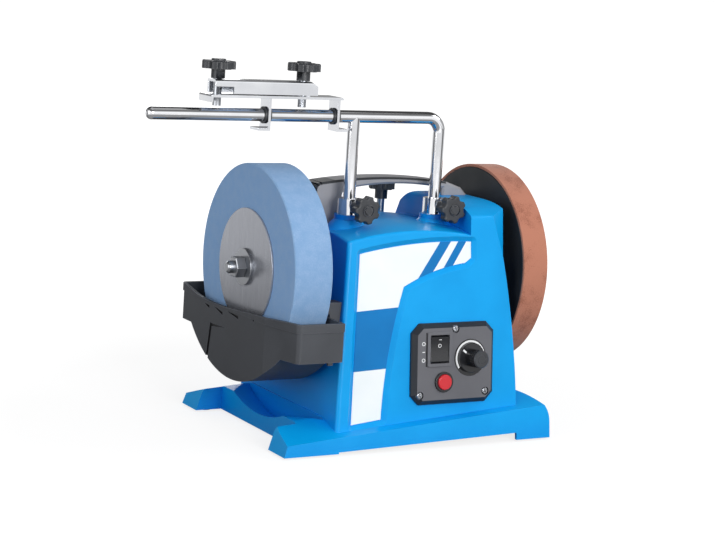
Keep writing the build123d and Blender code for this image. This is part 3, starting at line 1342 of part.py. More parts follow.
# Speed dial on its potentiometer
with BuildPart() as speed_dial:
    with BuildSketch(FACE.offset(FACE_GAP)):
        with Locations((DIAL_X, DIAL_UP)):
            Circle(DIAL_SKIRT_R)
    extrude(amount=DIAL_SKIRT_T)
    with BuildSketch(FACE.offset(FACE_GAP)):
        with Locations((DIAL_X, DIAL_UP)):
            Circle(DIAL_R)
    extrude(amount=DIAL_T)
    fillet(speed_dial.faces().sort_by(OUTWARD)[-1].edges(), DIAL_EDGE)
    with BuildSketch(FACE.offset(FACE_GAP + DIAL_SKIRT_T - POINTER_DEPTH)):
        with Locations((DIAL_X, DIAL_UP)):
            with PolarLocations(DIAL_SKIRT_R - POINTER_IN, 1, start_angle=90 + POINTER_TURN):
                Rectangle(POINTER_L, POINTER_W)
    extrude(amount=DIAL_SKIRT_T, mode=Mode.SUBTRACT)
    with BuildSketch(FACE.offset(FACE_GAP)):
        with Locations((DIAL_X, DIAL_UP)):
            Circle(POT_STEM_R + RUN_GAP)
    extrude(amount=POT_STEM + FACE_GAP, mode=Mode.SUBTRACT)
save(speed_dial.part, "speed_dial")

with BuildPart() as potentiometer:
    with BuildSketch(FRONT):
        with Locations((DIAL_X, DIAL_UP)):
            Circle(POT_R)
    extrude(amount=-POT_T)
    with BuildSketch(FRONT):
        with Locations((DIAL_X, DIAL_UP)):
            Circle(POT_BUSH_R)
    extrude(amount=PANEL_T)
    with BuildSketch(FACE):
        with Locations((DIAL_X, DIAL_UP)):
            Circle(POT_STEM_R)
    extrude(amount=FACE_GAP + POT_STEM)
save(potentiometer.part, "potentiometer")

# Overload reset: breaker with a guide sleeve through the panel, and its button
with BuildPart() as reset_breaker:
    with BuildSketch(FRONT):
        with Locations((BUTTON_X, BUTTON_UP)):
            Circle(BREAKER_R)
    extrude(amount=-BREAKER_T)
    with BuildSketch(FRONT):
        with Locations((BUTTON_X, BUTTON_UP)):
            Circle(BUTTON_SLEEVE_R)
    extrude(amount=PANEL_T)
    with BuildSketch(FACE):
        with Locations((BUTTON_X, BUTTON_UP)):
            Circle(BUTTON_RING_R)
    extrude(amount=BUTTON_RING_T)
    with BuildSketch(FRONT.offset(BUTTON_FLOOR)):
        with Locations((BUTTON_X, BUTTON_UP)):
            Circle(BUTTON_R + RUN_GAP)
    extrude(amount=PANEL_T + BUTTON_RING_T, mode=Mode.SUBTRACT)
    with BuildSketch(FRONT.offset(BUTTON_FLOOR)):
        with Locations((BUTTON_X, BUTTON_UP)):
            Circle(PLUNGER_R + RUN_GAP)
    extrude(amount=-PLUNGER_WELL, mode=Mode.SUBTRACT)
save(reset_breaker.part, "reset_breaker")

with BuildPart() as reset_button:
    with BuildSketch(FRONT.offset(BUTTON_FOOT)):
        with Locations((BUTTON_X, BUTTON_UP)):
            Circle(BUTTON_R)
    extrude(amount=PANEL_T + BUTTON_PROUD - BUTTON_FOOT)
    fillet(reset_button.faces().sort_by(OUTWARD)[-1].edges(), BUTTON_EDGE)
    with BuildSketch(FRONT.offset(BUTTON_FOOT)):
        with Locations((BUTTON_X, BUTTON_UP)):
            Circle(PLUNGER_R)
    extrude(amount=-PLUNGER)
save(reset_button.part, "reset_button")

with BuildPart() as control_board:
    with BuildSketch(FRONT.offset(-BOARD_IN)):
        with Locations((PANEL_X, PANEL_UP)):
            Rectangle(BOARD_W, BOARD_H)
    extrude(amount=-BOARD_T)
    with BuildSketch(FRONT.offset(-BOARD_IN - BOARD_T)):
        with Locations((PANEL_X, PANEL_UP)):
            with GridLocations(CAN_STEP, CAN_STEP, 3, 2):
                Circle(CAN_R)
    extrude(amount=-CAN_T)
save(control_board.part, "control_board")

# Cable gland in the rear wall
with BuildPart() as cable_gland:
    with BuildSketch(REAR):
        with Locations((-GLAND_X, GLAND_UP)):
            Circle(GLAND_R)
    extrude(amount=-SHELL_T)
    with BuildSketch(REAR):
        with Locations((-GLAND_X, GLAND_UP)):
            Circle(GLAND_FLANGE_R)
    extrude(amount=GLAND_FLANGE_T)
    with BuildSketch(REAR):
        with Locations((-GLAND_X, GLAND_UP)):
            Circle(GLAND_R)
    extrude(amount=GLAND_NOSE)
    with BuildSketch(REAR.offset(-SHELL_T)):
        with Locations((-GLAND_X, GLAND_UP)):
            Circle(GLAND_BORE_R)
    extrude(amount=SHELL_T + GLAND_NOSE, mode=Mode.SUBTRACT)
save(cable_gland.part, "cable_gland")
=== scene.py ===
import json
import math

import bmesh
import bpy
from mathutils import Matrix, Vector

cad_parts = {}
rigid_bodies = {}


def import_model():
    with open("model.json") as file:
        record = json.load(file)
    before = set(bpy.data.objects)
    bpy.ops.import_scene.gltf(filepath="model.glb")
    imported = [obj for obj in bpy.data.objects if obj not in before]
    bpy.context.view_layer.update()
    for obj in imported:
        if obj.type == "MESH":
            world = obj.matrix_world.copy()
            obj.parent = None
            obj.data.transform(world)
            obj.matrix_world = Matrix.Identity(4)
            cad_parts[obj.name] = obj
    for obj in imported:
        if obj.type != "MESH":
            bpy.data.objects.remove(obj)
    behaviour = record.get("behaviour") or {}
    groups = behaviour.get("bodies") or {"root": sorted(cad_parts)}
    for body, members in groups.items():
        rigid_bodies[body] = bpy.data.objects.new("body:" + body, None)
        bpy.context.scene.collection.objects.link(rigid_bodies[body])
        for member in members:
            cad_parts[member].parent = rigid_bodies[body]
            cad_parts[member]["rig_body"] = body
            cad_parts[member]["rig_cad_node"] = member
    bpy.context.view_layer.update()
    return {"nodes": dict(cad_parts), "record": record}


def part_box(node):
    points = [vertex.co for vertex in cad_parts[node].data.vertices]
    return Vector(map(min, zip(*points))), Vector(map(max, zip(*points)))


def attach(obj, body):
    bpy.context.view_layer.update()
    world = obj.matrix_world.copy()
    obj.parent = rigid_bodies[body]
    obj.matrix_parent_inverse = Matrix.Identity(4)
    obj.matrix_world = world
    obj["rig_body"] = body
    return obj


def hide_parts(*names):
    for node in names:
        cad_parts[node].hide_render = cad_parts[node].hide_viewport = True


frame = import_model()
nodes = frame["nodes"]
body_of = {node: body for body, carried in frame["record"]["behaviour"]["bodies"].items() for node in carried}

# Looks of a wet sharpening machine. Metres, +X along the shaft to the leather wheel, -Y the front, +Z up.
# Named sizes are in mm and named turns in degrees, unless a line says otherwise.
MM = 0.001
FRONTWARD, UPWARD = Vector((0, -1, 0)), Vector((0, 0, 1))
FRONT_FOOT = Vector((0, -105, 2)) * MM
FRONT_LEAN = math.radians(5.7)
FRONT_OUT = Vector((0, -math.cos(FRONT_LEAN), math.sin(FRONT_LEAN)))
FRONT_UP = Vector((0, math.sin(FRONT_LEAN), math.cos(FRONT_LEAN)))
FRONT_TURN = FRONT_OUT.to_track_quat("Z", "Y").to_matrix()
STONE_LOW, STONE_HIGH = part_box("grindstone")
SHAFT_Z = (STONE_LOW.z + STONE_HIGH.z) / 2
STONE_R = (STONE_HIGH.z - STONE_LOW.z) / 2
HAIR = 0.001 * MM

# Control panel, in places across the leaning front, up its slope and out of it
PANEL_T = 7.0
PANEL_SCREWS = ((37.1, 112.5), (-2.7, 49.1), (72.3, 50.0))
SCREW_RECESS = (3.4, 0.8, 2.2)
SCREW_TURNS = (25.0, 115.0)
SWITCH_X, SWITCH_UP = 18.5, 93.5
ROCKER_TIP = 9.65
ROCKER_ON_LIFT, ROCKER_OFF_LIFT = 9.3, 3.4
DIAL_X, DIAL_UP = 54.0, 84.0
DIAL_GAP = 0.4
DIAL_SKIRT_R, DIAL_SKIRT_T = 14.6, 3.6
DIAL_R, DIAL_T = 8.6, 20.6
DIAL_SIDES = 96
POINTER_R, POINTER_TURN = 11.0, 53.0
POINTER_W, POINTER_H = 2.0, 4.6

# Print on the panel: scale round the dial and marks beside the switch, and a black strip of painted shadow
# beside the switch's bezel
PRINT_T = 0.12
SCALE_R = 18.2
ARC_R, ARC_W, ARC_GAP = 15.9, 1.9, 102.0
MARK_X, MARK_R = 0.6, 1.6
MARK_ON_UP = 91.2
MARK_OFF_UPS = (("upper", 99.2), ("lower", 83.2))
SHADOW_LINE_X, SHADOW_LINE_W, SHADOW_LINE_H = 3.8, 1.2, 33.0

# Print on the label: edges of the band and of the two slanted stripes
BAND = (((-68.6, 131.8), (-22.6, 134.7)), ((-70.9, 74.4), (-37.3, 75.9)))
STRIPES = (
    (((21.7, 194.2), (5.7, 171.3)), ((33.9, 194.0), (18.2, 171.0))),
    (((42.3, 193.9), (31.2, 176.5)), ((51.6, 193.7), (40.5, 176.4))),
)
STRIPE_FOOT = 155.0

# Carry handle: grip bent over its left end with slots across it, and the strap's top edges painted dark as a
# shadow line
GRIP_BEND = Vector((-72.5, 0, 238.0))
GRIP_SLOT_R = 7.6
GRIP_SLOT = (1.6, 30, 3.0)
GRIP_SLOT_TURNS = (8.0, 38.0, 68.0)
GRIP_END_X = -60.0
STRAP_END_X, STRAP_FOOT_Z = 66.0, 233.0

# Jig: bends of its folded plates, notch in the jaw's front flange and slope at the jaw's far top corner
BRACKET_BEND, JAW_BEND = 1.8, 2.2
SHORTEST_BEND = 15.0
NOTCH_PLACE = Vector((9.0, 0.8, 2.75))
NOTCH = (20, 3.6, 7.5)
SLOPE_TURN = 33.0
SLOPE_PLACE = Vector((-3.5, 0, -2.3))
SLOPE_CUT = (16, 30, 6)

# Star knobs: node, name, place where the screw meets the head, and the way that the head faces
KNOBS = (
    ("lock_knob_left", "front_star_knob_left", (-54.0, -65, 227), FRONTWARD),
    ("lock_knob_right", "front_star_knob_right", (43.0, -65, 227), FRONTWARD),
    ("rear_lock_left", "rear_star_knob_left", (-57.0, 62, 230), UPWARD),
    ("rear_lock_right", "rear_star_knob_right", (39.5, 62, 230), UPWARD),
    ("jig_knob_left", "jig_star_knob_left", (-201.0, -35, 354.6), UPWARD),
    ("jig_knob_right", "jig_star_knob_right", (-112.0, -35, 354.6), UPWARD),
)
KNOB_RING = ((0.5, 0.0), (0.15, -1.1), (1.3, 0.0), (0.15, 1.1))
KNOB_SCREW_R = 4.2

# Shaft: tips turned down at its left and right end, and their threads
SHAFT_R, TIP_R = 6.0, 5.2
TIP_LEFT, TIP_RIGHT = 7.4, 5.4
THREAD_PITCH, THREAD_R, RIDGE_R = 1.75, 5.25, 0.75
THREAD_LEFT, THREAD_RIGHT = 2.0, 5.2

# Butt joint in the leather
JOINT_TURN = 28.0
JOINT_CUT = (60, 2.4, 0.5)

# Outer wall of the trough: its place along X and the reach of its slots and grooves
TROUGH_X = -155.0
GROOVE_NEAR, GROOVE_FAR = 0.1, 1.75
GROOVE_REACH_Y, GROOVE_TOP_Z = 66.0, 121.0

# Camera, from a perspective fit to the photograph
AIM = Vector((-19.4, 0, 162.7)) * MM
CAMERA_TURN = math.radians(-30.26)
CAMERA_PITCH = math.radians(8.96)
CAMERA_ROLL = math.radians(3.75)
CAMERA_DISTANCE = 1938.4 * MM
LENS_MM = 97.85
SENSOR_MM = 36.0
VIEW_SHIFT = (0.0008, -0.0084)

# Lamps: name, place in metres, width in metres and power in watts
LAMPS = (
    ("key_softbox", (-0.1, -2.25, 0.85), 1.0, 38.5),
    ("top_softbox", (0.1, -0.2, 2.2), 1.6, 3.0),
    ("left_fill", (-2.1, -0.5, 0.7), 1.2, 13.0),
    ("right_rim", (1.7, -0.7, 1.4), 0.8, 9.0),
    ("back_fill", (0.4, 2.4, 0.7), 1.2, 11.0),
)


def on_front(x, up, out=0.0):
    """Point on the leaning front from mm across, up the slope and out of it."""
    return FRONT_FOOT + (Vector((x, 0, 0)) + FRONT_UP * up + FRONT_OUT * out) * MM


def front_place(point):
    """Across and up the slope in mm of a point on the leaning front."""
    return point.x / MM, (point - FRONT_FOOT).dot(FRONT_UP) / MM


# Hand tools

def deselect():
    """Object mode with nothing selected."""
    if bpy.context.mode != "OBJECT":
        bpy.ops.object.mode_set(mode="OBJECT")
    bpy.ops.object.select_all(action="DESELECT")


def take(obj):
    """Makes one object the selected and active one."""
    deselect()
    obj.select_set(True)
    bpy.context.view_layer.objects.active = obj
    return obj


def edit(obj):
    """Opens one object in edit mode with all of it selected."""
    take(obj)
    bpy.ops.object.mode_set(mode="EDIT")
    bpy.ops.mesh.select_mode(type="FACE")
    bpy.ops.mesh.select_all(action="SELECT")


def leave():
    """Goes back from edit mode to object mode."""
    bpy.ops.object.mode_set(mode="OBJECT")


def pick(kind, test):
    """In edit mode, selects the vertices, edges or faces that pass a test."""
    bpy.ops.mesh.select_mode(type=kind)
    bpy.ops.mesh.select_all(action="DESELECT")
    shape = bmesh.from_edit_mesh(bpy.context.edit_object.data)
    parts = {"VERT": shape.verts, "EDGE": shape.edges, "FACE": shape.faces}[kind]
    for part in parts:
        part.select_set(test(part))
    bmesh.update_edit_mesh(bpy.context.edit_object.data)


def face_outward():
    """In edit mode, turns all faces to look out of their solid."""
    bpy.ops.mesh.select_all(action="SELECT")
    bpy.ops.mesh.normals_make_consistent(inside=False)


def settle(obj):
    """Puts an object's place, turn and scale into its mesh."""
    take(obj)
    bpy.ops.object.transform_apply(location=True, rotation=True, scale=True)
    return obj


def modify(obj, kind, **settings):
    """Adds a modifier with its settings and applies it."""
    take(obj)
    bpy.ops.object.modifier_add(type=kind)
    added = obj.modifiers[-1]
    for key, value in settings.items():
        setattr(added, key, value)
    bpy.ops.object.modifier_apply(modifier=added.name)


def round_edges(obj, width):
    """Rounds the sharp edges by a width in mm."""
    modify(
        obj,
        "BEVEL",
        width=width * MM,
        segments=3,
        limit_method="ANGLE",
        angle_limit=math.radians(25),
        harden_normals=True,
    )


def block(place, size, turn):
    """Box of a size in mm, to be cut out of something."""
    deselect()
    bpy.ops.mesh.primitive_cube_add(size=MM, location=place, rotation=turn.to_euler())
    bpy.context.object.scale = size
    return settle(bpy.context.object)


def cut(obj, tool):
    """Takes one solid out of another and deletes it."""
    modify(obj, "BOOLEAN", operation="DIFFERENCE", solver="EXACT", object=tool)
    take(tool)
    bpy.ops.object.delete()


def copy_of(node):
    """Free copy of a rigid CAD node with whole faces in place of its loose triangles."""
    take(nodes[node])
    bpy.ops.object.duplicate()
    copy = bpy.context.object
    bpy.ops.object.parent_clear(type="CLEAR_KEEP_TRANSFORM")
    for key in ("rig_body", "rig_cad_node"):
        del copy[key]
    edit(copy)
    bpy.ops.mesh.remove_doubles(threshold=2 * HAIR)
    bpy.ops.mesh.dissolve_limited(angle_limit=math.radians(0.4))
    leave()
    return copy


def dress(obj, name, finish, body, *stands_for):
    """Names a finished piece, gives it its material and makes it ride on a body in place of CAD nodes."""
    settle(obj)
    bpy.ops.object.shade_smooth_by_angle(angle=math.radians(30))
    modify(obj, "WEIGHTED_NORMAL", keep_sharp=True)
    obj.name = name
    obj.data.name = name
    obj.data.materials.clear()
    obj.data.materials.append(finish)
    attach(obj, body)
    if stands_for:
        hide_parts(*stands_for)
    return obj


def second_finish(obj, finish, test):
    """Gives a second material to the faces that pass a test."""
    obj.data.materials.append(finish)
    edit(obj)
    pick("FACE", test)
    obj.active_material_index = len(obj.data.materials) - 1
    bpy.ops.object.material_slot_assign()
    leave()


def soften(node, name, finish, width):
    """Copy of a rigid CAD node with its sharp edges rounded, in the node's place."""
    copy = copy_of(node)
    round_edges(copy, width)
    return dress(copy, name, finish, body_of[node], node)


def turned(place, radius, steps):
    """Round piece on the front, raised from a disc by steps in mm that lift its top face and draw it in."""
    deselect()
    bpy.ops.mesh.primitive_circle_add(
        vertices=DIAL_SIDES,
        radius=radius * MM,
        fill_type="NGON",
        location=place,
        rotation=FRONT_TURN.to_euler(),
    )
    piece = settle(bpy.context.object)
    edit(piece)
    for lift, draw_in in steps:
        if draw_in:
            bpy.ops.mesh.inset(thickness=draw_in * MM, depth=lift * MM)
        else:
            bpy.ops.mesh.extrude_region_move(TRANSFORM_OT_translate={"value": FRONT_OUT * lift * MM})
    bpy.ops.mesh.select_mode(type="EDGE")
    bpy.ops.mesh.select_all(action="DESELECT")
    bpy.ops.mesh.select_non_manifold()
    bpy.ops.mesh.edge_face_add()
    face_outward()
    leave()
    return piece


def facing(tip=0.0, turn=0.0):
    """Turn of a flat piece on the front, tipped about the level and then turned from upright by degrees."""
    level = Matrix.Rotation(math.radians(tip), 3, "X")
    return FRONT_TURN @ level @ Matrix.Rotation(math.radians(turn), 3, "Z")


def printed_bar(x, up, out, width, height, tip=0.0, turn=0.0):
    """Thin printed bar on the front."""
    deselect()
    bpy.ops.mesh.primitive_plane_add(
        size=MM, location=on_front(x, up, out), rotation=facing(tip, turn).to_euler()
    )
    bar = bpy.context.object
    bar.scale = (width, height, 1)
    settle(bar)
    modify(bar, "SOLIDIFY", thickness=PRINT_T * MM, offset=0.0)
    return bar


def printed_ring(x, up, out, radius, width, tip=0.0, gap=0.0, sides=48):
    """Thin printed ring on the front, open at its foot by an angle in degrees."""
    deselect()
    place = on_front(x, up, out)
    outer, inner = radius + width / 2, radius - width / 2
    bpy.ops.mesh.primitive_circle_add(
        vertices=sides, radius=outer * MM, location=place, rotation=facing(tip).to_euler()
    )
    ring = settle(bpy.context.object)
    edit(ring)
    bpy.ops.mesh.select_mode(type="EDGE")
    bpy.ops.mesh.select_all(action="SELECT")
    bpy.ops.mesh.extrude_region_move()
    bpy.ops.transform.resize(value=[inner / outer] * 3, center_override=place)
    if gap:
        reach = math.cos(math.radians(gap / 2))

        def at_foot(face):
            out_of_centre = face.calc_center_median() - place
            return -out_of_centre.normalized().dot(FRONT_UP) > reach

        pick("FACE", at_foot)
        bpy.ops.mesh.delete(type="FACE")
    face_outward()
    leave()
    modify(ring, "SOLIDIFY", thickness=PRINT_T * MM, offset=0.0)
    return ring


# Patterns for materials

def paint(code):
    """Linear RGBA of an sRGB hex value."""
    channels = [int(code[i : i + 2], 16) / 255 for i in (1, 3, 5)]
    linear = [c / 12.92 if c <= 0.04045 else ((c + 0.055) / 1.055) ** 2.4 for c in channels]
    return (*linear, 1)


def put(tree, kind, values=None, links=None, **settings):
    """Adds a node with its settings, the numbers of its inputs and the links into them."""
    made = tree.nodes.new(kind)
    for key, value in settings.items():
        setattr(made, key, value)
    for key, value in (values or {}).items():
        made.inputs[key].default_value = value
    for key, source in (links or {}).items():
        tree.links.new(source, made.inputs[key])
    return made


def sums(tree, operation, *sources):
    """Arithmetic on one or two patterns."""
    return put(tree, "ShaderNodeMath", links=dict(enumerate(sources)), operation=operation).outputs[0]


def ranged(tree, source, start, end, low=0.0, high=1.0):
    """Pattern whose span from start to end is drawn onto the one from low to high."""
    span = {"From Min": start, "From Max": end, "To Min": low, "To Max": high}
    return put(tree, "ShaderNodeMapRange", span, {"Value": source}).outputs["Result"]


def noise(tree, place, pitch, detail, distortion=0.0):
    """Cloudy pattern of a pitch in mm."""
    numbers = {"Scale": 1 / (pitch * MM), "Detail": detail, "Distortion": distortion}
    return put(tree, "ShaderNodeTexNoise", numbers, {"Vector": place}).outputs["Fac"]


def relief(tree, shader, height, depth):
    """Raises a surface by a pattern, to a depth in mm."""
    bump = put(tree, "ShaderNodeBump", {"Strength": 1.0, "Distance": depth * MM}, {"Height": height})
    tree.links.new(bump.outputs["Normal"], shader.inputs["Normal"])


def blend(tree, share, first, second):
    """Colour between two by a share, each of them a hex value or a pattern's colour."""
    values, links = {}, {"Factor": share}
    for side, colour in (("A", first), ("B", second)):
        if isinstance(colour, str):
            values[side] = paint(colour)
        else:
            links[side] = colour
    return put(tree, "ShaderNodeMix", values, links, data_type="RGBA").outputs["Result"]


def tint(tree, source, dark, light, low=0.3, high=0.7):
    """Colour between two hex values, driven by a pattern."""
    ramp = put(tree, "ShaderNodeValToRGB", links={"Fac": source})
    for stop, position, code in zip(ramp.color_ramp.elements, (low, high), (dark, light)):
        stop.position = position
        stop.color = paint(code)
    return ramp.outputs["Color"]


def begin(name, **values):
    """New material with its shader's plain numbers set: the material, its tree, shader and coordinates."""
    made = bpy.data.materials.new(name)
    made.use_nodes = True
    shader = made.node_tree.nodes["Principled BSDF"]
    for key, value in values.items():
        shader.inputs[key.replace("_", " ")].default_value = value
    place = put(made.node_tree, "ShaderNodeTexCoord").outputs["Object"]
    return made, made.node_tree, shader, place


def grain(tree, shader, place, pitch, depth, low, high):
    """Fine relief of a pitch and depth in mm, with roughness that wanders from low to high over 35 mm."""
    relief(tree, shader, noise(tree, place, pitch, 2.0), depth)
    wander = noise(tree, place, 35, 3.0)
    tree.links.new(ranged(tree, wander, 0.3, 0.7, low, high), shader.inputs["Roughness"])
    return wander


def worn_and_highlit_edges(tree, colour, light):
    """Edges paler, partly as wear and partly as a painted highlight: where the normal within 0.7 mm leaves
    the surface's own.
    """
    blunt = put(tree, "ShaderNodeBevel", {"Radius": 0.7 * MM}, samples=4)
    own = put(tree, "ShaderNodeNewGeometry")
    agree = put(
        tree,
        "ShaderNodeVectorMath",
        links={0: blunt.outputs["Normal"], 1: own.outputs["Normal"]},
        operation="DOT_PRODUCT",
    )
    return blend(tree, ranged(tree, agree.outputs["Value"], 0.995, 0.88, 0.0, 0.35), colour, light)


def painted_hollow_shade(tree, colour, hollow_shade_colour):
    """Painted shade: hollows, and faces that other parts cover, get a darker colour where other faces stand
    within 70 mm.
    """
    cover = put(tree, "ShaderNodeAmbientOcclusion", {"Distance": 70 * MM}, samples=6)
    return blend(tree, ranged(tree, cover.outputs["AO"], 0.25, 0.72), hollow_shade_colour, colour)


def moulded(name, dark, light, pitch, depth, low, high, worn_edge_highlight=None, hollow_shade_colour=None, shine=0.5):
    """Moulded plastic: fine spark-eroded grain from the mould, satin sheen, colour that drifts a little."""
    made, tree, shader, place = begin(name, IOR=1.53, Specular_IOR_Level=shine)
    colour = tint(tree, grain(tree, shader, place, pitch, depth, low, high), dark, light)
    # Edges painted paler, partly as wear and partly as a painted highlight
    if worn_edge_highlight:
        colour = worn_and_highlit_edges(tree, colour, worn_edge_highlight)
    # Painted shade: a darker colour in hollows and under other parts
    if hollow_shade_colour:
        colour = painted_hollow_shade(tree, colour, hollow_shade_colour)
    tree.links.new(colour, shader.inputs["Base Color"])
    return made


def plated(name, dark, light, low, high):
    """Bright metal: mirror sheen broken by faint polishing marks and smears."""
    made, tree, shader, place = begin(name, Metallic=1.0)
    smears = grain(tree, shader, place, 0.9, 0.004, low, high)
    tree.links.new(tint(tree, smears, dark, light), shader.inputs["Base Color"])
    return made


def brushed(name, dark, light, rough):
    """Sheet steel brushed one way and dulled: upright hair lines 0.6 mm apart, coarser than real ones."""
    made, tree, shader, place = begin(name, Metallic=0.7, Roughness=rough)
    drawn = put(tree, "ShaderNodeMapping", {"Scale": (1, 1, 0.6 / 40)}, {"Vector": place})
    lines = noise(tree, drawn.outputs["Vector"], 0.6, 4.0)
    relief(tree, shader, lines, 0.03)
    tree.links.new(tint(tree, lines, dark, light, 0.25, 0.75), shader.inputs["Base Color"])
    return made


def bonded_grit(name, grit, pale, side):
    """Vitrified stone: sharp grit 0.7 mm across, pale grains among blue ones, quite matt; sides painted a
    lighter blue than the rim as painted light.
    """
    made, tree, shader, place = begin(name, Roughness=0.92, IOR=1.76)
    centred = put(tree, "ShaderNodeVectorMath", {1: (0, 0, SHAFT_Z)}, {0: place}, operation="SUBTRACT")
    across = put(tree, "ShaderNodeVectorMath", {1: (0, 1, 1)}, {0: centred.outputs[0]}, operation="MULTIPLY")
    radius = put(tree, "ShaderNodeVectorMath", links={0: across.outputs[0]}, operation="LENGTH")
    rim = ranged(tree, radius.outputs["Value"], STONE_R - 2.0 * MM, STONE_R - 0.8 * MM)
    grains = put(tree, "ShaderNodeTexVoronoi", {"Scale": 1 / (0.7 * MM)}, {"Vector": place})
    speckle = sums(tree, "MULTIPLY", grains.outputs["Distance"], noise(tree, place, 9, 5.0))
    share = ranged(tree, speckle, 0.15, 0.45, 0.0, 0.45)
    # Painted light: the sides take a lighter blue than the rim, for the stronger light that falls on them
    colour = blend(tree, share, blend(tree, rim, side, grit), pale)
    tree.links.new(colour, shader.inputs["Base Color"])
    relief(tree, shader, grains.outputs["Distance"], 0.05)
    return made


def split_leather(name, dark, light):
    """Flesh side of cowhide: short fibres 0.9 mm apart, cloudy tone over 18 mm, no shine."""
    made, tree, shader, place = begin(name, Roughness=0.9, IOR=1.5, Sheen_Weight=0.15, Sheen_Roughness=0.5)
    fibres = noise(tree, place, 0.9, 6.0, distortion=1.2)
    both = sums(tree, "ADD", fibres, noise(tree, place, 18, 4.0))
    tree.links.new(tint(tree, both, dark, light, 0.75, 1.0), shader.inputs["Base Color"])
    relief(tree, shader, fibres, 0.12)
    return made


# Materials: dark and light colour, then for plastic the grain's pitch and depth, then the span of roughness

# Housing: clear sky blue with a satin skin, with painted shade of a darker blue in its hollows, and edges
# painted paler as wear and as a painted highlight
blue_abs = moulded(
    "blue_abs_moulded",
    "#029be3",
    "#04a1e9",
    0.8,
    0.02,
    0.30,
    0.40,
    worn_edge_highlight="#4cb4f4",
    hollow_shade_colour="#0070d4",
    shine=0.25,
)
# Trough and rails: charcoal, matt and a little waxy, with edges painted paler as wear and as a painted
# highlight
dark_pp = moulded(
    "dark_grey_polypropylene_moulded", "#383b41", "#404349", 0.8, 0.03, 0.45, 0.58, worn_edge_highlight="#9094a0"
)
# Slots and grooves of the trough: painted shade, nearly black
groove_painted_shade = moulded("dark_polypropylene_painted_shade", "#101114", "#151619", 0.8, 0.03, 0.5, 0.6)
# Handle: paler grey than the trough, with a broad soft sheen, and edges painted paler as wear and as a
# painted highlight
handle_nylon = moulded(
    "grey_glass_filled_nylon_moulded", "#8a8a8e", "#949498", 0.7, 0.03, 0.36, 0.48, worn_edge_highlight="#a6a8ac"
)
# Knobs and bushes: near black, grained, soft highlights, with edges painted paler as wear and as a painted
# highlight
black_nylon = moulded("black_nylon_moulded", "#2b2d31", "#33363b", 0.7, 0.03, 0.36, 0.48, worn_edge_highlight="#686c74")
# Control panel: mid grey with a dry matt face
panel_abs = moulded("grey_abs_panel_moulded", "#595a60", "#616268", 0.6, 0.03, 0.45, 0.55)
# Bevelled rim of the panel: nearly black, dry
panel_rim = moulded("black_abs_rim_moulded", "#14181f", "#191e26", 0.6, 0.03, 0.45, 0.55)
# Switch, dial and gland: deep black with a clear gloss
black_gloss = moulded("black_polycarbonate_moulded", "#1b1c1f", "#222327", 1.2, 0.005, 0.18, 0.26)
# Reset button: bright signal red, glossy
red_cap = moulded("red_polycarbonate_moulded", "#c6222c", "#d02b35", 1.2, 0.005, 0.18, 0.26)
# Feet and drive tyre: dull black that hardly reflects
rubber = moulded("black_rubber_pressed", "#171717", "#1f1f1f", 0.9, 0.04, 0.75, 0.88)
# Core of the honing wheel: black with a cold sheen
core_black = moulded("black_phenolic_moulded", "#14181c", "#1a1f23", 0.9, 0.02, 0.45, 0.60)
# Label film: clean white, slightly glossy
label_white = moulded("white_vinyl_film_cast", "#eaf1f4", "#f1f6f8", 1.0, 0.003, 0.30, 0.38)
# Print on the label: strong dark blue
label_ink = moulded("blue_ink_screen_printed", "#0271b5", "#0478be", 1.0, 0.003, 0.30, 0.38, shine=0.25)
# Marks on the panel, rocker and dial: plain white
mark_ink = moulded("white_ink_pad_printed", "#e4e6e8", "#eceef0", 1.0, 0.003, 0.40, 0.50)
# Motor and its bracket: dark sprayed enamel
enamel = moulded("dark_enamel_sprayed", "#202326", "#282b2e", 0.9, 0.02, 0.30, 0.40)
# Control board: green lacquer over glass cloth
board_green = moulded("green_epoxy_glass_board_etched", "#0c4a20", "#115a28", 0.9, 0.01, 0.35, 0.45)
# Support bar and sleeves: bright mirror of the room
chrome = plated("chrome_on_ground_steel", "#dedfe2", "#eaebee", 0.05, 0.12)
# Jig plates: folded sheet with a bright, slightly cloudy zinc skin
zinc = plated("bright_zinc_on_folded_steel", "#dfe1e6", "#eceef1", 0.08, 0.16)
# Turned and pressed steel: grey with a broken shine
steel = plated("bright_steel_turned", "#9ea1a7", "#b4b7bc", 0.22, 0.34)
# Drive disc: pale turned aluminium
cast = plated("aluminium_turned", "#9c9ea2", "#aeb0b3", 0.30, 0.42)
# Side plate of the stone: upright hair lines
plate_steel = brushed("sheet_steel_brushed", "#999ca5", "#b9bcc4", 0.26)
# Stone: pale blue bonded grit, its sides painted lighter than its rim as painted light
stone = bonded_grit("blue_corundum_vitrified", "#769dc8", "#a0bbdb", "#80aadb")
# Honing rim: reddish tan suede
leather = split_leather("tan_leather_split", "#8e5541", "#b4765f")

FINISHES = {
    "blue_housing": blue_abs,
    "dark_plastic": dark_pp,
    "black_plastic": black_nylon,
    "white_label": label_white,
    "red_button": red_cap,
    "chrome_bar": chrome,
    "bright_steel": steel,
    "grey_stone": stone,
    "tan_leather": leather,
    "black_rubber": rubber,
    "cast_disc": cast,
    "motor_paint": enamel,
    "green_board": board_green,
}
for part in frame["record"]["subparts"]:
    mesh = nodes[part["node"]].data
    mesh.materials.clear()
    mesh.materials.append(FINISHES[part["material_slot"]])


# Pieces

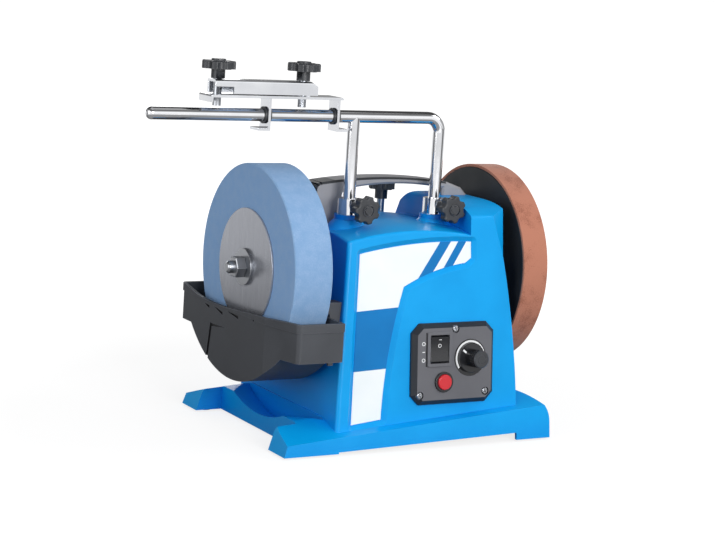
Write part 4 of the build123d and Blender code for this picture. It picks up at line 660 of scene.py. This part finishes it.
def label():
    """White film with a dark-blue band and two slanted stripes printed on it."""
    film = copy_of("front_label")
    edit(film)
    for start, end in (*BAND, *STRIPES[0], *STRIPES[1]):
        here, there = on_front(*start), on_front(*end)
        bpy.ops.mesh.select_all(action="SELECT")
        across = (there - here).cross(FRONT_OUT).normalized()
        bpy.ops.mesh.bisect(plane_co=here, plane_no=across, threshold=HAIR)
    dress(film, "printed_label", label_white, "frame", "front_label")

    def along(edge, height):
        (x0, up0), (x1, up1) = edge
        return x0 + (height - up0) * (x1 - x0) / (up1 - up0)

    def rise(edge, x):
        (x0, up0), (x1, up1) = edge
        return up0 + (x - x0) * (up1 - up0) / (x1 - x0)

    def printed(face):
        x, up = front_place(face.calc_center_median())
        if up > STRIPE_FOOT:
            return any(along(left, up) < x < along(right, up) for left, right in STRIPES)
        return rise(BAND[1], x) < up < rise(BAND[0], x)

    second_finish(film, label_ink, printed)


def dial():
    """Skirted speed dial with a fluted grip, a ring in its dull cap and a white pointer on the skirt."""
    foot = PANEL_T + DIAL_GAP
    skirt = ((DIAL_SKIRT_T - 0.6, 0), (0.6, 0.6), (0, DIAL_SKIRT_R - 0.6 - DIAL_R))
    grip = ((DIAL_T - DIAL_SKIRT_T - 1.0, 0), (1.0, 1.0))
    cap = ((0, 2.6), (-0.5, 0.2), (0, 0.6), (0.5, 0.2))
    centre = on_front(DIAL_X, DIAL_UP, foot)
    piece = turned(centre, DIAL_SKIRT_R, skirt + grip + cap)
    edit(piece)

    def height(face):
        return (face.calc_center_median() - centre).dot(FRONT_OUT) / MM

    def in_flute(face):
        if not DIAL_SKIRT_T < height(face) < DIAL_T - 1.0 or abs(face.normal.dot(FRONT_OUT)) > 0.1:
            return False
        middle = face.calc_center_median() - centre
        share = math.atan2(middle.dot(FRONT_UP), middle.x) / math.tau % 1
        return int(share * DIAL_SIDES) % 4 in (1, 2)

    pick("FACE", in_flute)
    bpy.ops.mesh.inset(thickness=0.12 * MM, depth=-0.45 * MM)
    dress(piece, "fluted_dial", black_gloss, "dial", "speed_dial")
    second_finish(piece, black_nylon, lambda face: height(face) > DIAL_T - 0.7)
    turn = math.radians(POINTER_TURN)
    x, up = DIAL_X - POINTER_R * math.sin(turn), DIAL_UP + POINTER_R * math.cos(turn)
    out = foot + DIAL_SKIRT_T + PRINT_T / 2
    pointer = printed_bar(x, up, out, POINTER_W, POINTER_H, turn=POINTER_TURN)
    dress(pointer, "dial_pointer", mark_ink, "dial")


def panel():
    """Grey panel plate with a dark bevelled rim."""
    plate = soften("control_panel", "panel_plate", panel_abs, 0.4)
    second_finish(plate, panel_rim, lambda face: face.normal.dot(FRONT_OUT) < 0.93)


def panel_print():
    """Black ring under the dial with its white speed arc, the marks beside the switch, and a black strip of
    painted shadow along the bezel's left side.
    """
    plate = turned(on_front(DIAL_X, DIAL_UP, PANEL_T), SCALE_R, ((0.15, 0), (0.1, 0.1)))
    dress(plate, "dial_scale_plate", black_gloss, "frame")
    arc = printed_ring(DIAL_X, DIAL_UP, PANEL_T + 0.3, ARC_R, ARC_W, gap=ARC_GAP, sides=DIAL_SIDES)
    dress(arc, "speed_arc", mark_ink, "frame")
    out = PANEL_T + PRINT_T / 2
    for name, up in MARK_OFF_UPS:
        dress(printed_ring(MARK_X, up, out, MARK_R, 0.7), f"switch_off_mark_{name}", mark_ink, "frame")
    dress(printed_bar(MARK_X, MARK_ON_UP, out, 2.8, 0.8), "switch_on_mark", mark_ink, "frame")
    # Painted shadow: a thin black strip for the shade along the raised bezel's left side
    line = printed_bar(SHADOW_LINE_X, SWITCH_UP, out, SHADOW_LINE_W, SHADOW_LINE_H)
    dress(line, "switch_bezel_painted_shadow", black_gloss, "frame")


def rocker():
    """Glossy rocker with its two marks on the upper half."""
    soften("rocker", "switch_rocker_cap", black_gloss, 0.3)
    slope = math.tan(math.radians(ROCKER_TIP))

    def on_cap(lift):
        return SWITCH_X, SWITCH_UP + lift, PANEL_T + slope * lift + PRINT_T / 2

    on_mark = printed_bar(*on_cap(ROCKER_ON_LIFT), 3.2, 0.7, tip=ROCKER_TIP)
    dress(on_mark, "rocker_on_mark", mark_ink, "switch_rocker")
    off_mark = printed_ring(*on_cap(ROCKER_OFF_LIFT), MARK_R, 0.6, tip=ROCKER_TIP)
    dress(off_mark, "rocker_off_mark", mark_ink, "switch_rocker")


def screws():
    """Panel screws with a cross recess in each rounded head."""
    heads = copy_of("panel_screws")
    for x, up in PANEL_SCREWS:
        for turn in SCREW_TURNS:
            cut(heads, block(on_front(x, up, PANEL_T), SCREW_RECESS, facing(turn=turn)))
    dress(heads, "cross_head_screws", steel, "frame", "panel_screws")


def handle():
    """Carry handle with its strap's top edges painted dark as a shadow line, and a black slotted grip over
    its left end.
    """
    strap = copy_of("carry_handle")
    round_edges(strap, 0.6)
    for swing in GRIP_SLOT_TURNS:
        lean = Matrix.Rotation(math.radians(-swing), 3, "Y")
        place = GRIP_BEND + lean @ Vector((0, 0, GRIP_SLOT_R))
        cut(strap, block(place * MM, GRIP_SLOT, lean))
    dress(strap, "grip_handle", handle_nylon, "frame", "carry_handle")

    def shadow_line_and_grip(face):
        place = face.calc_center_median() / MM
        # Painted shadow: the sloping faces along the strap's top edges are painted black
        on_shadow_line = place.x < STRAP_END_X and 0.25 < face.normal.z < 0.95 and abs(face.normal.y) > 0.3
        return place.z > STRAP_FOOT_Z and (on_shadow_line or place.x < GRIP_END_X)

    second_finish(strap, black_nylon, shadow_line_and_grip)


def bend(sheet, radius, top, test):
    """Rounds the long straight edges at the top of a folded sheet that pass a test, by a radius in mm."""
    edit(sheet)

    def at_bend(edge):
        ends = [corner.co for corner in edge.verts]
        way = ends[1] - ends[0]
        at_top = all(abs(place.z - top) < 10 * HAIR for place in ends)
        return at_top and way.length > SHORTEST_BEND * MM and test(way)

    pick("EDGE", at_bend)
    bpy.ops.mesh.bevel(offset=radius * MM, segments=4)
    leave()


def jig():
    """Folded plates of the jig: bracket, and jaw notched low in front with its far top corner sloped off."""
    bracket = copy_of("jig_bracket")
    bend(bracket, BRACKET_BEND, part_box("jig_bracket")[1].z, lambda way: abs(way.y) > abs(way.x))
    round_edges(bracket, 0.35)
    dress(bracket, "jig_plate", zinc, body_of["jig_bracket"], "jig_bracket")
    jaw = copy_of("jig_jaw")
    low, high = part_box("jig_jaw")
    bend(jaw, JAW_BEND, high.z, lambda way: abs(way.x) > abs(way.y))
    cut(jaw, block(low + NOTCH_PLACE * MM, NOTCH, Matrix.Identity(3)))
    slope = Matrix.Rotation(math.radians(SLOPE_TURN), 3, "Y")
    corner = Vector((high.x, (low.y + high.y) / 2, high.z)) + SLOPE_PLACE * MM
    cut(jaw, block(corner + slope @ Vector((0, 0, SLOPE_CUT[2] / 2)) * MM, SLOPE_CUT, slope))
    round_edges(jaw, 0.35)
    dress(jaw, "jig_clamp", zinc, body_of["jig_jaw"], "jig_jaw")


def knob(node, name, head, way):
    """Star knob with a ring sunk round its cap and a steel screw in its hub."""
    grip = copy_of(node)
    crown = max(corner.co.dot(way) for corner in grip.data.vertices)
    edit(grip)

    def on_crown(face):
        return face.normal.dot(way) > 0.99 and face.calc_center_median().dot(way) > crown - 50 * HAIR

    pick("FACE", on_crown)
    for thickness, depth in KNOB_RING:
        bpy.ops.mesh.inset(thickness=thickness * MM, depth=depth * MM)
    leave()
    dress(grip, name, black_nylon, body_of[node], node)

    def on_screw(face):
        off = face.calc_center_median() - head
        return off.dot(way) < 0 and (off - way * off.dot(way)).length < KNOB_SCREW_R * MM

    second_finish(grip, steel, on_screw)


def shaft():
    """Shaft with a turned-down tip at each end."""
    core = copy_of("main_shaft")
    low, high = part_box("main_shaft")
    for outward, shoulder in ((-1, low.x + TIP_LEFT * MM), (1, high.x - TIP_RIGHT * MM)):
        edit(core)
        bpy.ops.mesh.bisect(plane_co=(shoulder, 0, 0), plane_no=(1, 0, 0), threshold=HAIR)
        pick("VERT", lambda corner: (corner.co.x - shoulder) * outward > -HAIR)
        bpy.ops.mesh.extrude_region_move()
        thin = TIP_R / SHAFT_R
        bpy.ops.transform.resize(value=(1, thin, thin), center_override=(0, 0, SHAFT_Z))
    dress(core, "turned_shaft", steel, "wheel_shaft", "main_shaft")
    thread("left", low.x + THREAD_LEFT * MM, 3)
    thread("right", high.x - THREAD_RIGHT * MM, 2)


def thread(side, start, turns):
    """Thread on a tip of the shaft: a triangle wound round the axis."""
    deselect()
    bpy.ops.mesh.primitive_circle_add(
        vertices=3,
        radius=RIDGE_R * MM,
        location=(start, 0, THREAD_R * MM),
        rotation=(math.radians(90), 0, 0),
    )
    ridge = settle(bpy.context.object)
    pitch = THREAD_PITCH * MM
    modify(ridge, "SCREW", axis="X", screw_offset=pitch, iterations=turns, steps=24, render_steps=24)
    edit(ridge)
    bpy.ops.mesh.remove_doubles(threshold=HAIR)
    bpy.ops.mesh.fill_holes(sides=3)
    face_outward()
    bpy.ops.transform.translate(value=(0, 0, SHAFT_Z))
    dress(ridge, f"shaft_thread_{side}", steel, "wheel_shaft")


def leather_rim():
    """Leather strip round the honing wheel with rounded edges and a slanted butt joint at the rear."""
    strip = copy_of("honing_leather")
    round_edges(strip, 0.7)
    low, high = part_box("honing_leather")
    lean = Matrix.Rotation(math.radians(JOINT_TURN), 3, "Y")
    place = Vector(((low.x + high.x) / 2, high.y, SHAFT_Z))
    cut(strip, block(place, JOINT_CUT, lean))
    dress(strip, "leather_rim", leather, "wheel_shaft", "honing_leather")


def trough():
    """Water trough with softened edges, and painted shade, nearly black, in the slots and grooves of its
    outer wall.
    """
    tank = copy_of("water_trough")
    round_edges(tank, 0.5)
    edit(tank)
    bpy.ops.mesh.dissolve_degenerate(threshold=0.2 * HAIR)
    leave()
    dress(tank, "trough_tank", dark_pp, "trough", "water_trough")

    def in_groove(face):
        place = face.calc_center_median() / MM
        sunk = GROOVE_NEAR < place.x - TROUGH_X < GROOVE_FAR
        return sunk and abs(place.y) < GROOVE_REACH_Y and place.z < GROOVE_TOP_Z

    # Painted shade: the faces inside the slots and grooves are coloured nearly black
    second_finish(tank, groove_painted_shade, in_groove)


# Plain pieces: node, name, material and rounding in mm
for plain_piece in (
    ("housing", "housing_shell", blue_abs, 1.4),
    ("switch_frame", "switch_bezel", panel_abs, 0.4),
    ("reset_button", "reset_cap", red_cap, 0.4),
    ("reset_breaker", "reset_bezel", black_gloss, 0.4),
    ("jig_bushes", "jig_bearing_bushes", black_nylon, 0.3),
    ("trough_rail_front", "front_rail", dark_pp, 0.5),
    ("trough_rail_rear", "rear_rail", dark_pp, 0.5),
    ("sleeve_left", "front_sleeve_left", chrome, 0.7),
    ("sleeve_right", "front_sleeve_right", chrome, 0.7),
    ("rear_sleeve_left", "level_sleeve_left", chrome, 0.7),
    ("rear_sleeve_right", "level_sleeve_right", chrome, 0.7),
    ("grindstone", "grinding_stone", stone, 0.4),
    ("wheel_plate", "stone_side_plate", plate_steel, 0.4),
    ("wheel_washer", "stone_washer", steel, 0.4),
    ("wheel_nut", "stone_nut", steel, 0.25),
    ("honing_core", "honing_wheel_core", core_black, 0.8),
    ("honing_washer", "honing_wheel_washer", steel, 0.4),
    ("honing_nut", "honing_wheel_nut", steel, 0.25),
    ("cable_gland", "cable_gland_body", black_gloss, 0.5),
    ("rubber_feet", "bench_feet", rubber, 0.6),
):
    soften(*plain_piece)
label()
panel()
panel_print()
dial()
rocker()
screws()
handle()
jig()
for node, name, head, way in KNOBS:
    knob(node, name, Vector(head) * MM, way)
shaft()
leather_rim()
trough()


# Floor, light and camera

def swung_parts(tree, place):
    """A place's parts across, away from and above the camera's foot, by the camera's turn."""
    swung = put(tree, "ShaderNodeMapping", {"Rotation": (0, 0, -CAMERA_TURN)}, {"Vector": place})
    return put(tree, "ShaderNodeSeparateXYZ", links={0: swung.outputs["Vector"]}).outputs


def ground():
    """Pale floor that bright pieces mirror as paler far off, and darker near by and at both sides."""
    deselect()
    bpy.ops.mesh.primitive_plane_add(size=60, location=(0, 0, 0))
    floor = bpy.context.object
    floor.name = "floor"
    made = bpy.data.materials.new("white_floor_seamless_paper")
    made.use_nodes = True
    tree = made.node_tree
    place = put(tree, "ShaderNodeTexCoord").outputs["Object"]
    path = put(tree, "ShaderNodeLightPath").outputs
    far = put(tree, "ShaderNodeVectorMath", links={0: place}, operation="LENGTH").outputs["Value"]
    for_eye = sums(tree, "MULTIPLY", ranged(tree, far, 0.35, 0.9, 0.80, 1.0), path["Is Camera Ray"])
    aside = sums(tree, "ABSOLUTE", swung_parts(tree, place)["X"])
    flagged = ranged(tree, sums(tree, "DIVIDE", aside, far), 0.90, 0.97, 0.8, 0.1)
    shaded = ranged(tree, far, 0.86, 1.04, 0.12, 1.0)
    for_sheen = sums(tree, "MULTIPLY", sums(tree, "MULTIPLY", flagged, shaded), path["Is Glossy Ray"])
    matt = put(tree, "ShaderNodeBsdfDiffuse", {"Color": paint("#8c8c8c")})
    glow = put(tree, "ShaderNodeEmission", links={"Strength": sums(tree, "ADD", for_eye, for_sheen)})
    both = put(tree, "ShaderNodeAddShader", links={0: matt.outputs[0], 1: glow.outputs[0]})
    tree.links.new(both.outputs[0], tree.nodes["Material Output"].inputs["Surface"])
    floor.data.materials.append(made)


def room():
    """White surroundings; bright pieces mirror a bright screen at the front right and a dark ceiling."""
    world = bpy.data.worlds.new("white_studio")
    bpy.context.scene.world = world
    world.use_nodes = True
    tree = world.node_tree
    path = put(tree, "ShaderNodeLightPath").outputs
    parts = swung_parts(tree, put(tree, "ShaderNodeTexCoord").outputs["Generated"])
    walls = ranged(tree, parts["Y"], -0.2, 0.2, 0.8, 0.3)
    screen = ranged(tree, parts["X"], 0.5, 0.8, 1.0, 1.5)
    ceiling = ranged(tree, parts["Z"], 0.35, 0.6, 1.0, 0.2)
    mirrored = sums(tree, "MULTIPLY", sums(tree, "MULTIPLY", walls, screen), ceiling)
    for_sheen = put(
        tree,
        "ShaderNodeMapRange",
        {"To Min": 0.36},
        {"Value": path["Is Glossy Ray"], "To Max": mirrored},
    )
    strength = sums(tree, "MAXIMUM", for_sheen.outputs["Result"], path["Is Camera Ray"])
    back = tree.nodes["Background"]
    back.inputs["Color"].default_value = (1, 1, 1, 1)
    tree.links.new(strength, back.inputs["Strength"])


def lamps():
    """A large lamp in front and weaker ones above, at both sides and behind."""
    for name, place, size, power in LAMPS:
        lamp = bpy.data.lights.new(name, "AREA")
        lamp.energy = power
        lamp.shape = "SQUARE"
        lamp.size = size
        holder = bpy.data.objects.new(name, lamp)
        bpy.context.scene.collection.objects.link(holder)
        holder.location = place
        holder.rotation_euler = (AIM - Vector(place)).to_track_quat("-Z", "Y").to_euler()


def camera():
    """Camera at the photograph's view."""
    turn, pitch, roll = CAMERA_TURN, CAMERA_PITCH, CAMERA_ROLL
    back = Vector((math.sin(turn) * math.cos(pitch), -math.cos(turn) * math.cos(pitch), math.sin(pitch)))
    right = Vector((math.cos(turn), math.sin(turn), 0))
    up = back.cross(right)
    rolled_right = right * math.cos(roll) + up * math.sin(roll)
    rolled_up = up * math.cos(roll) - right * math.sin(roll)
    lens = bpy.data.cameras.new("camera")
    lens.lens = LENS_MM
    lens.sensor_width = SENSOR_MM
    lens.shift_x, lens.shift_y = VIEW_SHIFT
    lens.clip_end = 100
    holder = bpy.data.objects.new("camera", lens)
    bpy.context.scene.collection.objects.link(holder)
    swung = Matrix((rolled_right, rolled_up, back)).transposed().to_4x4()
    holder.matrix_world = Matrix.Translation(AIM + back * CAMERA_DISTANCE) @ swung
    bpy.context.scene.camera = holder


ground()
room()
lamps()
camera()
bpy.context.scene.view_settings.view_transform = "Standard"
